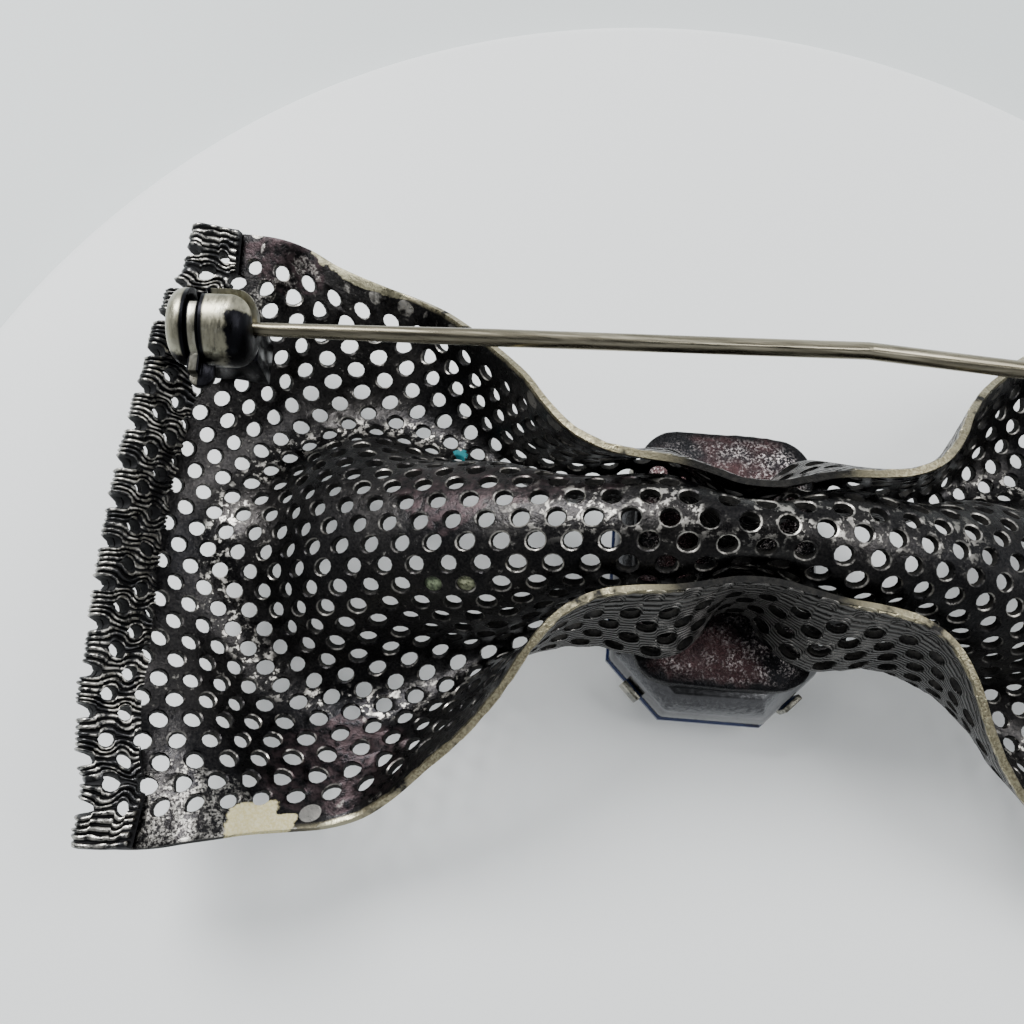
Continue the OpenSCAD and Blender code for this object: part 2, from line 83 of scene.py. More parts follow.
# %% [markdown]
# ## Small helpers
# A modifier that stays live can be changed later, but an exported model needs plain meshes, so
# each one is applied as soon as it is set. Selecting is done by place, because an operator acts
# on all that is selected.

# %% Helpers for meshes
def only(obj):
    """Makes this the one selected and active object."""
    bpy.ops.object.select_all(action="DESELECT")
    obj.select_set(True)
    bpy.context.view_layer.objects.active = obj


def finished(obj, kind, **settings):
    """Adds one modifier to a piece and applies it."""
    modifier = obj.modifiers.new(kind.title(), kind)
    for key, value in settings.items():
        setattr(modifier, key, value)
    only(obj)
    bpy.ops.object.modifier_apply(modifier=modifier.name)


def points_of(obj):
    """The vertex places of a piece as an array."""
    flat = np.empty(len(obj.data.vertices) * 3)
    obj.data.vertices.foreach_get("co", flat)
    return flat.reshape(-1, 3)


def set_points(obj, points):
    obj.data.vertices.foreach_set("co", np.asarray(points, float).ravel())
    obj.data.update()


def edit(obj, mode="VERT", select="DESELECT"):
    """Opens a piece in edit mode."""
    only(obj)
    bpy.ops.object.mode_set(mode="EDIT")
    bpy.ops.mesh.select_mode(type=mode)
    bpy.ops.mesh.select_all(action=select)


def done():
    bpy.ops.object.mode_set(mode="OBJECT")

# %% [markdown]
# ## The form of the bow
# The bow is one flat perforated sheet, gathered at its waist: a ridge runs along the middle,
# with a valley and an upright flange on each side, and both open out towards the ends. The
# same short table of sections as in the CAD model says how it bends, so the holes made here
# fall on the solid. A sheet can't stretch, so each row is laid out at its own length.

# %% Table of sections, waist first
PITCH, PITCH_ACROSS, THICK, MARGIN = 2.0, 2.37, 0.5, 2.06
HALF_WIDTH = 7 * PITCH_ACROSS + MARGIN
HALF_LENGTH = 20.5 * PITCH
LENGTH = 2 * HALF_LENGTH
# middle height, ridge dip, flange rise, crest end, valley start, valley end, length share
SECTIONS = np.array([
    [10.1, 100, 92, .18, .41, .70, 1.00], [9.6, 86, 114, .35, .41, .72, 1.00],
    [8.2, 96, 98, .40, .39, .69, 1.00], [6.4, 87, 68, .54, .49, .64, 1.00],
    [4.4, 67, 57, .43, .37, .78, 1.00], [2.1, 46, 30, .45, .39, .73, 1.00],
    [-0.6, 22, 30, .13, .16, .70, 1.00], [-0.4, 0, 17, .07, .02, .60, 0.88],
    [3.7, 0, -7, .20, .12, 1.03, 1.04]])
LAST = len(SECTIONS) - 1
GRAIN = 95
STEP = HALF_WIDTH / GRAIN
print("sections:", len(SECTIONS), "from the waist to the fold,", HALF_LENGTH, "mm")

# %% One section
def section_at(s):
    """Smooth curve through the rows of the table."""
    row = lambda k: (SECTIONS[-k] if k < 0 else
                     2 * SECTIONS[LAST] - SECTIONS[LAST - 1] if k > LAST else SECTIONS[k])
    k = min(int(s), LAST - 1)
    f, (a, b, c, d) = s - k, (row(k + i) for i in (-1, 0, 1, 2))
    return 0.5 * (2 * b + (c - a) * f + (2 * a - 5 * b + 4 * c - d) * f ** 2
                  + (3 * b - a - 3 * c + d) * f ** 3)


def section_line(s):
    """Half a section as [y, z] from the middle line to the rim."""
    height, dip, rise, crest, valley, end = section_at(s)[:6]
    v = (np.arange(GRAIN) + 0.5) / GRAIN
    t = np.clip((v - valley) / (end - valley), 0, 1)
    slope = -dip * np.sin(np.pi / 2 * np.minimum(1, v / crest)) + (dip + rise) * t * t * (3 - 2 * t)
    steps = STEP * np.stack([np.cos(np.radians(slope)), np.sin(np.radians(slope))], 1)
    return np.vstack([[0, height], [0, height] + np.cumsum(steps, 0)])


print("waist section is", round(section_line(0)[-1, 0], 2), "mm wide on each side")

# %% One wing, mirrored to the whole bow
def wing():
    """Middle surface of the right wing at each column of holes: [column, row, xyz]."""
    columns = [0.0] + [(k + 0.5) * PITCH for k in range(21)]
    lines = np.array([section_line(c / HALF_LENGTH * LAST) for c in columns])
    keep = np.array([section_at(c / HALF_LENGTH * LAST)[6] for c in columns[1:]])
    length = np.diff(columns) * keep
    rise = ((lines[1:] - lines[:-1]) ** 2).sum(2)
    full = length[:, None] ** 2
    x = np.cumsum(np.sqrt(np.maximum(0.03 * full, full - rise)), 0)
    straight = round(13 * PITCH_ACROSS / 2 / STEP)
    x[:, straight:] = x[:, straight:straight + 1]
    return np.dstack([x, lines[1:]])


half = wing()
PLATE_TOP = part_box("stone_setting")[1][2] / MM
half[:, :, 2] += PLATE_TOP - 0.88
whole = np.concatenate([half[::-1] * [-1, 1, 1], half])
mirrored = whole[:, :0:-1] * [1, -1, 1]
SURFACE = np.concatenate([mirrored, whole], 1)
print("middle surface:", SURFACE.shape, "highest", round(SURFACE[:, :, 2].max(), 2), "mm")

# %% From the flat sheet to the bow
def on_bow(x, y):
    """Places on the middle surface for flat places x (from the left fold) and y (from the middle)."""
    s = np.clip(x / PITCH, 0, 41)
    k = np.minimum(s.astype(int), 40)
    f = (s - k)[:, None]
    m = np.clip(y / STEP + GRAIN, 0, 2 * GRAIN)
    n = np.minimum(m.astype(int), 2 * GRAIN - 1)
    g = (m - n)[:, None]
    at = lambda i: (SURFACE[np.clip(k + i, 0, 41), n] * (1 - g)
                    + SURFACE[np.clip(k + i, 0, 41), n + 1] * g)
    a, b, c, d = at(-1), at(0), at(1), at(2)
    a = np.where((k == 0)[:, None], 2 * b - c, a)
    d = np.where((k == 40)[:, None], 2 * c - b, d)
    return 0.5 * (2 * b + (c - a) * f + (2 * a - 5 * b + 4 * c - d) * f ** 2
                  + (3 * b - a - 3 * c + d) * f ** 3)


def upright(x, y):
    """Direction that stands upright on the back of the bow."""
    e = 0.05
    along = on_bow(np.minimum(x + e, LENGTH), y) - on_bow(np.maximum(x - e, 0), y)
    over = on_bow(x, np.minimum(y + e, HALF_WIDTH)) - on_bow(x, np.maximum(y - e, -HALF_WIDTH))
    normal = np.cross(along, over)
    return normal / np.linalg.norm(normal, axis=1)[:, None]

# %% Fold the two ends back
FOLD_R = 0.28


def formed(flat, proud=0.0):
    """Bends flat places onto the bow. Past a fold the sheet comes back over itself.

    proud is how far each place stands off the middle of the sheet, towards the bow's front face.
    """
    x, y = flat[:, 0], flat[:, 1]
    left = x < HALF_LENGTH
    past = np.where(left, x, LENGTH - x)
    turn = np.clip(past / FOLD_R, -1, 1) * np.pi / 2
    inside = np.where(abs(past) < FOLD_R, FOLD_R * (1 - np.cos(turn)), abs(past))
    lift = FOLD_R * (1 - np.sin(turn)) - proud * np.sin(turn)
    x = np.where(left, inside, LENGTH - inside)
    inward = on_bow(np.where(left, x + 0.1, x - 0.1), y) - on_bow(x, y)
    inward /= np.linalg.norm(inward, axis=1)[:, None]
    out = -proud * np.cos(turn)
    return on_bow(x, y) + upright(x, y) * lift[:, None] + inward * out[:, None]


print("left fold, middle:", formed(np.array([[0.0, 0.0]])).round(2)[0], "mm")

# %% [markdown]
# ## The perforated sheet
# The sheet is made as it is made in life: flat, with staggered oval holes, and bent afterwards.
# One hole with the metal round it is modelled, as a brick that fits its neighbours, and two
# Array modifiers repeat it. Its hole has a ring of its own, so that the edge can be rounded.

# %% One hole and its brick
HOLE = (0.55, 0.475)
BRICK = (PITCH / 2, PITCH_ACROSS / 4)
CORNERS = [(1, 0), (1, 1), (.5, 1), (0, 1), (-.5, 1), (-1, 1),
           (-1, 0), (-1, -1), (-.5, -1), (0, -1), (.5, -1), (1, -1)]


def brick(name, x, y):
    """A hole in its piece of sheet, around (x, y) of the flat sheet, in millimetres."""
    bpy.ops.object.select_all(action="DESELECT")
    bpy.ops.mesh.primitive_circle_add(vertices=12, radius=1)
    obj = bpy.context.object
    obj.name = name
    edit(obj, "EDGE", "SELECT")
    bpy.ops.transform.resize(value=(HOLE[0], HOLE[1], 1))
    bpy.ops.mesh.extrude_edges_move()
    bpy.ops.transform.resize(value=(1.16, 1.16, 1))
    bpy.ops.mesh.extrude_edges_move()
    bpy.ops.transform.resize(value=(2, 2, 1))
    done()
    points = points_of(obj)
    reach = np.hypot(points[:, 0] / HOLE[0], points[:, 1] / HOLE[1])
    for i in np.nonzero(reach > 1.5)[0]:
        turn = math.atan2(points[i, 1] / HOLE[1], points[i, 0] / HOLE[0])
        corner = CORNERS[round(turn / math.tau * 12) % 12]
        points[i, :2] = corner[0] * BRICK[0], corner[1] * BRICK[1]
    set_points(obj, points + [x, y, 0])
    return obj


def rows(name, x, y, across, down):
    """Repeats the brick over the flat sheet."""
    obj = brick(name, x, y)
    for count, offset in ((across, (PITCH, 0, 0)), (down, (0, PITCH_ACROSS, 0))):
        finished(obj, "ARRAY", count=count, use_relative_offset=False,
                 use_constant_offset=True, constant_offset_displace=offset)
    return obj


HEM = 3.0
SHEET_END = 0.7
even = rows("even_rows", 0, -7 * PITCH_ACROSS, 42, 15)
odd = rows("odd_rows", -1, -6.5 * PITCH_ACROSS, 43, 14)
print("bricks:", 42 * 15 + 43 * 14)

# %% Plain margins along the two rims
EDGE = HALF_WIDTH - MARGIN + BRICK[1]


def margin_strip(side):
    """The plain strip outside the last row of holes, with a narrow row for its rounded edge."""
    bpy.ops.object.select_all(action="DESELECT")
    bpy.ops.mesh.primitive_grid_add(x_subdivisions=168, y_subdivisions=3, size=1)
    obj = bpy.context.object
    points = points_of(obj)
    share = np.array([0, 0.5, 0.9, 1.0])[np.round((points[:, 1] + 0.5) * 3).astype(int)]
    points[:, 0] = points[:, 0] * (LENGTH + 2) + HALF_LENGTH
    points[:, 1] = side * (EDGE + share * (HALF_WIDTH - EDGE))
    set_points(obj, points)
    if side < 0:
        edit(obj, "FACE", "SELECT")
        bpy.ops.mesh.flip_normals()
        done()
    return obj


strips = [margin_strip(side) for side in (1, -1)]
only(even)
for piece in (odd, *strips):
    piece.select_set(True)
bpy.ops.object.join()
sheet = bpy.context.object
sheet.name = "perforated_bow"
edit(sheet, "VERT", "SELECT")
bpy.ops.mesh.remove_doubles(threshold=0.01)
for x, left, right_side in ((SHEET_END, True, False), (LENGTH - SHEET_END, False, True)):
    bpy.ops.mesh.select_all(action="SELECT")
    bpy.ops.mesh.bisect(plane_co=(x, 0, 0), plane_no=(1, 0, 0),
                        clear_inner=left, clear_outer=right_side)
bpy.ops.mesh.select_all(action="SELECT")
bpy.ops.mesh.normals_make_consistent(inside=False)
done()
if sum(face.normal.z for face in sheet.data.polygons) < 0:
    edit(sheet, "FACE", "SELECT")
    bpy.ops.mesh.flip_normals()
    done()
print("flat sheet:", len(sheet.data.polygons), "faces")

# %% [markdown]
# The flat places are kept as a UV map, one unit to ten millimetres, so that the finish can
# follow the holes and the grain of the metal after the sheet is bent. A vertex group makes the
# Solidify modifier thinner at the holes and rims, which rounds those edges.

# %% Keep the flat places, bend the sheet, give it its thickness
flat = points_of(sheet)[:, :2]


def hole_reach(x, y):
    """How far a flat place is from the nearest hole: 1 at its edge."""
    row = np.round(y / (PITCH_ACROSS / 2))
    shift = (row % 2) * PITCH / 2
    dx = x - shift - PITCH * np.round((x - shift) / PITCH)
    return np.hypot(dx / HOLE[0], (y - row * PITCH_ACROSS / 2) / HOLE[1])


uv = sheet.data.uv_layers.new(name="flat")
corner = np.empty(len(sheet.data.loops), int)
sheet.data.loops.foreach_get("vertex_index", corner)
uv.data.foreach_set("uv", (flat[corner] / 10).ravel())

edge = (hole_reach(flat[:, 0], flat[:, 1]) < 1.05) | (abs(flat[:, 1]) > HALF_WIDTH - 0.01)
thin = sheet.vertex_groups.new(name="thickness")
thin.add([int(i) for i in np.nonzero(~edge)[0]], 1.0, "REPLACE")
thin.add([int(i) for i in np.nonzero(edge)[0]], 0.72, "REPLACE")
set_points(sheet, formed(flat) * MM)
for slot_name in ("back", "front", "cut_edges"):
    sheet.data.materials.append(bpy.data.materials.new(slot_name))
finished(sheet, "SOLIDIFY", thickness=THICK * MM, offset=0, use_rim=True,
         vertex_group="thickness", material_offset=1, material_offset_rim=2)
only(sheet)
bpy.ops.object.shade_smooth_by_angle(angle=math.radians(38))
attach(sheet, "brooch")
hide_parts("bow_sheet")
print("bow:", len(sheet.data.polygons), "faces")

# %% [markdown]
# ## The folded hems
# Each end of the sheet is folded back over the back, and there the ribs of the front face show,
# like cords wrapped round the end. A hem is a flat grid whose lines run along the ribs. Where a
# hole comes, the grid is slit, and the lines on both sides of the slit are pushed apart, so that
# the ribs bend round the hole as they do in the photograph.

# %% Grid lines of a hem
ROW, LAST_ROW = PITCH_ACROSS / 2, 14
RIBS_IN_ROW, RIBS_IN_MARGIN, RIB_CUTS = 3, 5, 6
RIB_HIGH = 0.2
SLIT = 0.02
SLOT_LONG, SLOT_WIDE = 0.44, 0.36
stations = {-0.12, 0.12, SHEET_END, -HEM}
for column in range(-3, 2):
    stations |= {column + side * cut for cut in (0, 0.22, 0.37, SLOT_LONG) for side in (-1, 1)}
stations = np.array(sorted(x for x in stations if -HEM <= x <= SHEET_END))
lines = []
for k in range(-LAST_ROW, LAST_ROW):
    for i in range(RIBS_IN_ROW * RIB_CUTS + 1):
        share = i / (RIBS_IN_ROW * RIB_CUTS)
        lines.append((k * ROW + min(max(share * ROW, SLIT), ROW - SLIT), share * RIBS_IN_ROW))
for i in range(RIBS_IN_MARGIN * RIB_CUTS + 1):
    place_y = LAST_ROW * ROW + max(SLIT, MARGIN * i / (RIBS_IN_MARGIN * RIB_CUTS))
    lines += [(place_y, i / RIB_CUTS), (-place_y, i / RIB_CUTS)]
lines = np.array(sorted(lines))
print("hem grid:", len(stations), "by", len(lines))

# %% Push the grid lines apart at the holes
def half_slot(x, row):
    """Half the width of a hole of this row at place x, or 0 between its holes."""
    odd_row = row % 2
    dx = x - odd_row - PITCH * np.round((x - odd_row) / PITCH)
    return SLOT_WIDE * np.sqrt(np.maximum(0, 1 - (dx / SLOT_LONG) ** 2))


def pushed_apart(x, y):
    """Places of the grid lines across the hem, once the holes have opened."""
    row = np.clip(np.floor(y / ROW), -LAST_ROW, LAST_ROW - 1)
    low, high = half_slot(x, row), half_slot(x, row + 1)
    between = row * ROW + low + (ROW - low - high) * (y / ROW - row)
    rim = half_slot(x, LAST_ROW)
    outside = LAST_ROW * ROW + rim + (MARGIN - rim) * (abs(y) - LAST_ROW * ROW) / MARGIN
    return np.where(abs(y) > LAST_ROW * ROW, np.sign(y) * outside, between)

# %% Make a hem
def hem(name, right_end):
    """A grid slit at its holes, given a back, and bent round the left or the right end."""
    bpy.ops.object.select_all(action="DESELECT")
    bpy.ops.mesh.primitive_grid_add(x_subdivisions=len(stations) - 1,
                                    y_subdivisions=len(lines) - 1, size=1)
    obj = bpy.context.object
    obj.name = name
    share = points_of(obj)[:, :2] + 0.5
    i = np.round(share[:, 0] * (len(stations) - 1)).astype(int)
    j = np.round(share[:, 1] * (len(lines) - 1)).astype(int)
    x, y, phase = stations[i], lines[j, 0], lines[j, 1]
    edit(obj, "FACE")
    done()
    for face in obj.data.polygons:
        cx, cy = (sum(values[k] for k in face.vertices) / 4 for values in (x, y))
        near = round(cy / ROW)
        face.select = bool(abs(cy - near * ROW) < SLIT / 2 and half_slot(cx, near) > 0)
    bpy.ops.object.mode_set(mode="EDIT")
    bpy.ops.mesh.delete(type="FACE")
    done()
    finished(obj, "SOLIDIFY", thickness=0.1, offset=-1)
    sway = np.array([noise.noise((a * 0.9, b * 0.8, 4 + right_end)) for a, b in zip(x, y)])
    sway *= 0.2 * np.clip((HALF_WIDTH - abs(y)) / 0.6, 0, 1)
    flat = np.stack([LENGTH - x if right_end else x, pushed_apart(x, y) + sway], 1)
    rib = np.round(phase + 0.5) + 3 * np.floor(y / ROW)
    vary = np.array([noise.noise((a * 1.2, b * 1.7, 9.0 * right_end)) for a, b in zip(x, rib)])
    crest = np.abs(np.sin(np.pi * phase)) ** 0.6
    fade = np.clip((SHEET_END - x) / 0.3, 0, 1)
    high = RIB_HIGH * crest * fade * (1 + 0.9 * vary)
    outer, inner = formed(flat, THICK / 2 + high), formed(flat, -THICK / 2 * 0.9)
    set_points(obj, np.concatenate([outer, inner]) * MM)
    edit(obj, "FACE", "SELECT")
    bpy.ops.mesh.normals_make_consistent(inside=False)
    done()
    relief = obj.data.attributes.new("relief", "FLOAT", "POINT")
    relief.data.foreach_set("value", np.concatenate([crest, 0 * crest]))
    only(obj)
    bpy.ops.object.shade_smooth_by_angle(angle=math.radians(75))
    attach(obj, "brooch")
    return obj


hems = [hem("folded_hem_left", False), hem("folded_hem_right", True)]
print("hems:", [len(obj.data.polygons) for obj in hems], "faces")

# %% [markdown]
# ## The setting and its stone
# Seen from the back, the setting is a rough cast plate with a low rounded rim and a crinkled
# dome. Below it a smooth grey cup widens to the stone, and four claws fold over the stone's cut
# corners. Each part starts as a cube. Bevelling its upright edges gives the cut or rounded
# corners, and a chain of insets, each with a depth, gives the steps.

# %% Helpers for stepped blocks
STONE_LONG, STONE_WIDE = 18.0, 13.0
CORNER_CUT = 0.26 * STONE_WIDE
GIRDLE_LOW, GIRDLE_TOP = 2.0, 2.4


def block(name, wide, long_, low, top, corner, segments):
    """A box in millimetres whose four upright edges are beveled."""
    bpy.ops.object.select_all(action="DESELECT")
    bpy.ops.mesh.primitive_cube_add(size=1)
    obj = bpy.context.object
    obj.name = name
    set_points(obj, (points_of(obj) * [wide, long_, top - low] + [0, 0, (low + top) / 2]) * MM)
    edit(obj, "EDGE")
    done()
    for line in obj.data.edges:
        a, b = (obj.data.vertices[k].co for k in line.vertices)
        line.select = abs(a.z - b.z) > 0.1 * MM
    bpy.ops.object.mode_set(mode="EDIT")
    bpy.ops.mesh.bevel(offset=corner * MM, segments=segments)
    done()
    return obj


def stepped(obj, up, steps):
    """Insets the top face, or the lowest one, again and again: [step in, depth] in millimetres."""
    edit(obj, "FACE")
    done()
    heights = [face.center.z * up for face in obj.data.polygons]
    obj.data.polygons[heights.index(max(heights))].select = True
    bpy.ops.object.mode_set(mode="EDIT")
    for step_in, depth in steps:
        bpy.ops.mesh.inset(thickness=step_in * MM, depth=depth * MM)
    done()


def joined(name, pieces):
    """Makes one object of several pieces."""
    only(pieces[0])
    for obj in pieces[1:]:
        obj.select_set(True)
    bpy.ops.object.join()
    bpy.context.object.name = name
    return bpy.context.object

# %% [markdown]
# The plate is soldered under the waist, where the sheet isn't flat. It could be cut to the
# sheet with a Boolean, which leaves ragged edges on so fine a mesh. Here a ray goes up from each
# of its points, and where the point would stand above the sheet's lower face, it is let down to
# it, as solder would fill the hollow.

# %% Cast back plate
PLATE_WIDE, PLATE_LONG, PLATE_Y = STONE_WIDE - 1.9, STONE_LONG - 1.95, 0.67
SAND_GRAIN, SAND_DEPTH = 1.3, 0.22
plate = block("cast_plate", PLATE_WIDE, PLATE_LONG, PLATE_TOP - 1.5, PLATE_TOP - 0.4, 2.5, 4)
stepped(plate, 1, [(0.20, 0.04), (0.45, 0.02), (0.35, 0.18), (0.60, 0.12), (1.0, 0.05)])
stepped(plate, -1, [(0.3, 0), (1.5, 0)])
for levels in (2, 1):
    finished(plate, "SUBSURF", levels=levels, render_levels=levels)
sand = bpy.data.textures.new("casting", "CLOUDS")
sand.noise_scale = SAND_GRAIN * MM
sand.noise_depth = 4
finished(plate, "DISPLACE", texture=sand, strength=SAND_DEPTH * MM, mid_level=0.5)
print("plate:", PLATE_WIDE, "by", round(PLATE_LONG, 2), "mm")

# %% Let the plate down under the sheet
WAIST, ACROSS, ALONG, SOLDER = (20, 62), 85, 121, 0.06
under_x, under_y = np.meshgrid(np.linspace(*WAIST, ACROSS), np.linspace(-HALF_WIDTH, HALF_WIDTH, ALONG))
under = formed(np.stack([under_x.ravel(), under_y.ravel()], 1), THICK / 2 + SOLDER) * MM
firsts = [r * ACROSS + c for r in range(ALONG - 1) for c in range(ACROSS - 1)]
squares = [(k, k + 1, k + ACROSS + 1, k + ACROSS) for k in firsts]
sheet_under = BVHTree.FromPolygons(under.tolist(), squares)
places = points_of(plate) + [0, PLATE_Y * MM, 0]
for point in places:
    hit = sheet_under.ray_cast(Vector((point[0], point[1], -20 * MM)), Vector((0, 0, 1)))[0]
    if hit is not None:
        point[2] = min(point[2], hit.z)
set_points(plate, places)
print("plate:", len(plate.data.polygons), "faces")

# %% Cup
cup = block("cup", STONE_WIDE - 0.25, STONE_LONG - 0.25, GIRDLE_TOP + 0.05, GIRDLE_TOP + 0.9,
            CORNER_CUT - 0.1, 1)
stepped(cup, 1, [(0.15, 0.8), (1.0, 1.1)])
finished(cup, "BEVEL", width=0.16 * MM, segments=2, limit_method="ANGLE", angle_limit=0.2)
print("cup:", len(cup.data.polygons), "faces")

# %% Claws
CLAW, CLAW_THICK, CLAW_HIGH, CLAW_Z = 1.4, 0.36, 1.5, 2.55


def claw(sx, sy):
    """A tab from the cup down a cut corner, folded over the crown of the stone."""
    bpy.ops.object.select_all(action="DESELECT")
    bpy.ops.mesh.primitive_cube_add(size=1)
    obj = bpy.context.object
    set_points(obj, points_of(obj) * [CLAW_THICK, CLAW, CLAW_HIGH]
               + [CLAW_THICK / 2 + 0.02, 0, CLAW_Z])
    edit(obj, "FACE")
    done()
    low = min(obj.data.polygons, key=lambda face: face.center.z)
    low.select = True
    bpy.ops.object.mode_set(mode="EDIT")
    bpy.ops.mesh.extrude_region_move(TRANSFORM_OT_translate={"value": (-0.35, 0, -0.35)})
    bpy.ops.mesh.extrude_region_move(TRANSFORM_OT_translate={"value": (-0.95, 0, -0.5)})
    bpy.ops.transform.resize(value=(0.8, 0.7, 0.4))
    done()
    finished(obj, "BEVEL", width=0.17, segments=3)
    corner = Vector((sx * (STONE_WIDE - CORNER_CUT) / 2, sy * (STONE_LONG - CORNER_CUT) / 2, 0)) * MM
    obj.data.transform(Matrix.Translation(corner) @ Matrix.Rotation(math.atan2(sy, sx), 4, "Z")
                       @ Matrix.Scale(MM, 4))
    return obj


claws = [claw(sx, sy) for sx in (-1, 1) for sy in (-1, 1)]
for obj in (cup, *claws):
    only(obj)
    bpy.ops.object.shade_smooth_by_angle(angle=math.radians(30))
only(plate)
bpy.ops.object.shade_smooth()
print("claws:", len(claws), "of", len(claws[0].data.polygons), "faces")

# %% [markdown]
# The stone is an emerald cut: a cut-cornered octagon whose crown steps down to a wide table, and
# whose pavilion steps to a narrow keel on the other side. It lies on its table. Flat facets with
# sharp edges are what makes glass sparkle, so it isn't shaded smooth.

# %% The stone: steps of a cut-corner octagon
stone = block("blue_octagon_stone", STONE_WIDE, STONE_LONG, GIRDLE_LOW, GIRDLE_TOP, CORNER_CUT, 1)
stepped(stone, -1, [(0.7, 0.62), (0.9, 0.66), (1.5, 0.72)])
stepped(stone, 1, [(1.0, 0.95), (1.2, 0.95), (1.6, 0.95)])
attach(stone, "brooch")
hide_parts("center_stone")
print("stone:", len(stone.data.polygons), "facets")

# %% [markdown]
# ## Materials
# Each material is a Principled BSDF whose colour, roughness and bump come from procedural
# nodes. What several of them share is a node group, so that wear looks the same everywhere.
# Nodes could be placed by hand in the Shader Editor. In code, one line per node reads like a sum.

# %% Helpers for nodes
def linked(tree, value, socket):
    """Links a node's output to a socket, or sets the socket to a plain value."""
    if isinstance(value, bpy.types.NodeSocket):
        tree.links.new(value, socket)
    else:
        socket.default_value = value


def place(tree, kind, links=None, **settings):
    """Adds a node, sets it, and links or sets its inputs by name or number."""
    node = tree.nodes.new(kind)
    for key, value in settings.items():
        setattr(node, key, value)
    for key, value in (links or {}).items():
        linked(tree, value, node.inputs[key])
    return node


def mix_of(tree, share, a, b):
    """Colour between a and b."""
    a, b = (value if isinstance(value, bpy.types.NodeSocket) else (*value, 1) for value in (a, b))
    return place(tree, "ShaderNodeMix", {0: share, 6: a, 7: b}, data_type="RGBA",
                 clamp_factor=True).outputs[2]


def range_of(tree, value, low, high, to_low=0.0, to_high=1.0):
    """Goes softly from to_low at low to to_high at high."""
    return place(tree, "ShaderNodeMapRange", {0: value, 1: low, 2: high, 3: to_low, 4: to_high},
                 interpolation_type="SMOOTHSTEP").outputs[0]


def noise_of(tree, where, scale, detail=4.0, roughness=0.55):
    return place(tree, "ShaderNodeTexNoise", {"Vector": where, "Scale": scale, "Detail": detail,
                                              "Roughness": roughness}).outputs["Fac"]

# %% Short names for sums
def math_of(tree, operation, a, b=0.0, c=0.0):
    return place(tree, "ShaderNodeMath", {0: a, 1: b, 2: c}, operation=operation).outputs[0]


def minus(tree, a, b):
    return math_of(tree, "SUBTRACT", a, b)


def total(tree, a, b):
    return math_of(tree, "ADD", a, b)


def divided(tree, a, b):
    return math_of(tree, "DIVIDE", a, b)


def unsigned(tree, value):
    return math_of(tree, "ABSOLUTE", value)


def scaled(tree, value, factor, plus):
    return math_of(tree, "MULTIPLY_ADD", value, factor, plus)


def product(tree, first, *others):
    for other in others:
        first = math_of(tree, "MULTIPLY", first, other)
    return first


def highest(tree, first, *others):
    for other in others:
        first = math_of(tree, "MAXIMUM", first, other)
    return first

# %% Helpers for groups and materials
def group(name, inputs, outputs):
    """An empty shader node group with named float or vector sockets."""
    tree = bpy.data.node_groups.new(name, "ShaderNodeTree")
    kinds = {"f": "NodeSocketFloat", "v": "NodeSocketVector"}
    for in_out, sockets in (("INPUT", inputs), ("OUTPUT", outputs)):
        for label, (kind, value) in sockets.items():
            socket = tree.interface.new_socket(label, in_out=in_out, socket_type=kinds[kind])
            if value is not None:
                socket.default_value = value
    return tree, tree.nodes.new("NodeGroupInput"), tree.nodes.new("NodeGroupOutput")


def use(tree, name, links):
    """Places a node group in a material."""
    return place(tree, "ShaderNodeGroup", links, node_tree=bpy.data.node_groups[name])


def material(name):
    """A new material: its nodes, its Principled BSDF, and the place on the piece in metres."""
    made = bpy.data.materials.new(name)
    made.use_nodes = True
    tree = made.node_tree
    tree.nodes.clear()
    bsdf = place(tree, "ShaderNodeBsdfPrincipled")
    place(tree, "ShaderNodeOutputMaterial", {"Surface": bsdf.outputs[0]})
    return made, tree, bsdf, place(tree, "ShaderNodeTexCoord").outputs["Object"]


def surface(tree, bsdf, colour, rough, height, strength, depth_mm, metal):
    """Joins a finish to its BSDF. What is the same all over is set on the socket itself."""
    linked(tree, colour, bsdf.inputs["Base Color"])
    linked(tree, rough, bsdf.inputs["Roughness"])
    linked(tree, metal, bsdf.inputs["Metallic"])
    bump = place(tree, "ShaderNodeBump",
                 {"Height": height, "Strength": strength, "Distance": depth_mm * MM})
    tree.links.new(bump.outputs[0], bsdf.inputs["Normal"])

# %% [markdown]
# Two things about the sheet are asked for again and again: how far a place is from the nearest
# hole, and whether it lies inside a certain spot. Both are sums on the flat place, so each is
# made once as a node group. The same group also says how far up a rib of the front face a place
# is, and there the ribs bend round the holes as they do on the hems.

# %% Group: where the sheet's holes are
tree, get, put = group("hole_edge", {"Flat": ("v", None)}, {"Reach": ("f", 0), "Rib": ("f", 0)})
xyz = place(tree, "ShaderNodeSeparateXYZ", {0: get.outputs[0]})
x, y = xyz.outputs[0], xyz.outputs[1]


def from_column(tree, x, odd):
    """Distance along the sheet from the nearest even or odd column of holes."""
    moved = minus(tree, x, odd)
    steps = math_of(tree, "ROUND", divided(tree, moved, PITCH))
    return minus(tree, moved, product(tree, steps, PITCH))


def slot_of(tree, dx):
    """Half the width of a hole at this distance from its middle, or 0 past its end."""
    share = divided(tree, dx, HOLE[0])
    inside = highest(tree, minus(tree, 1.0, product(tree, share, share)), 0.0)
    return product(tree, math_of(tree, "SQRT", inside), HOLE[1])


def between(tree, share, a, b):
    """a where share is 0 and b where it is 1."""
    return scaled(tree, minus(tree, b, a), share, a)


def away_from(tree, dx, dy):
    """Length of the straight line over dx and dy."""
    return math_of(tree, "SQRT", total(tree, product(tree, dx, dx), product(tree, dy, dy)))


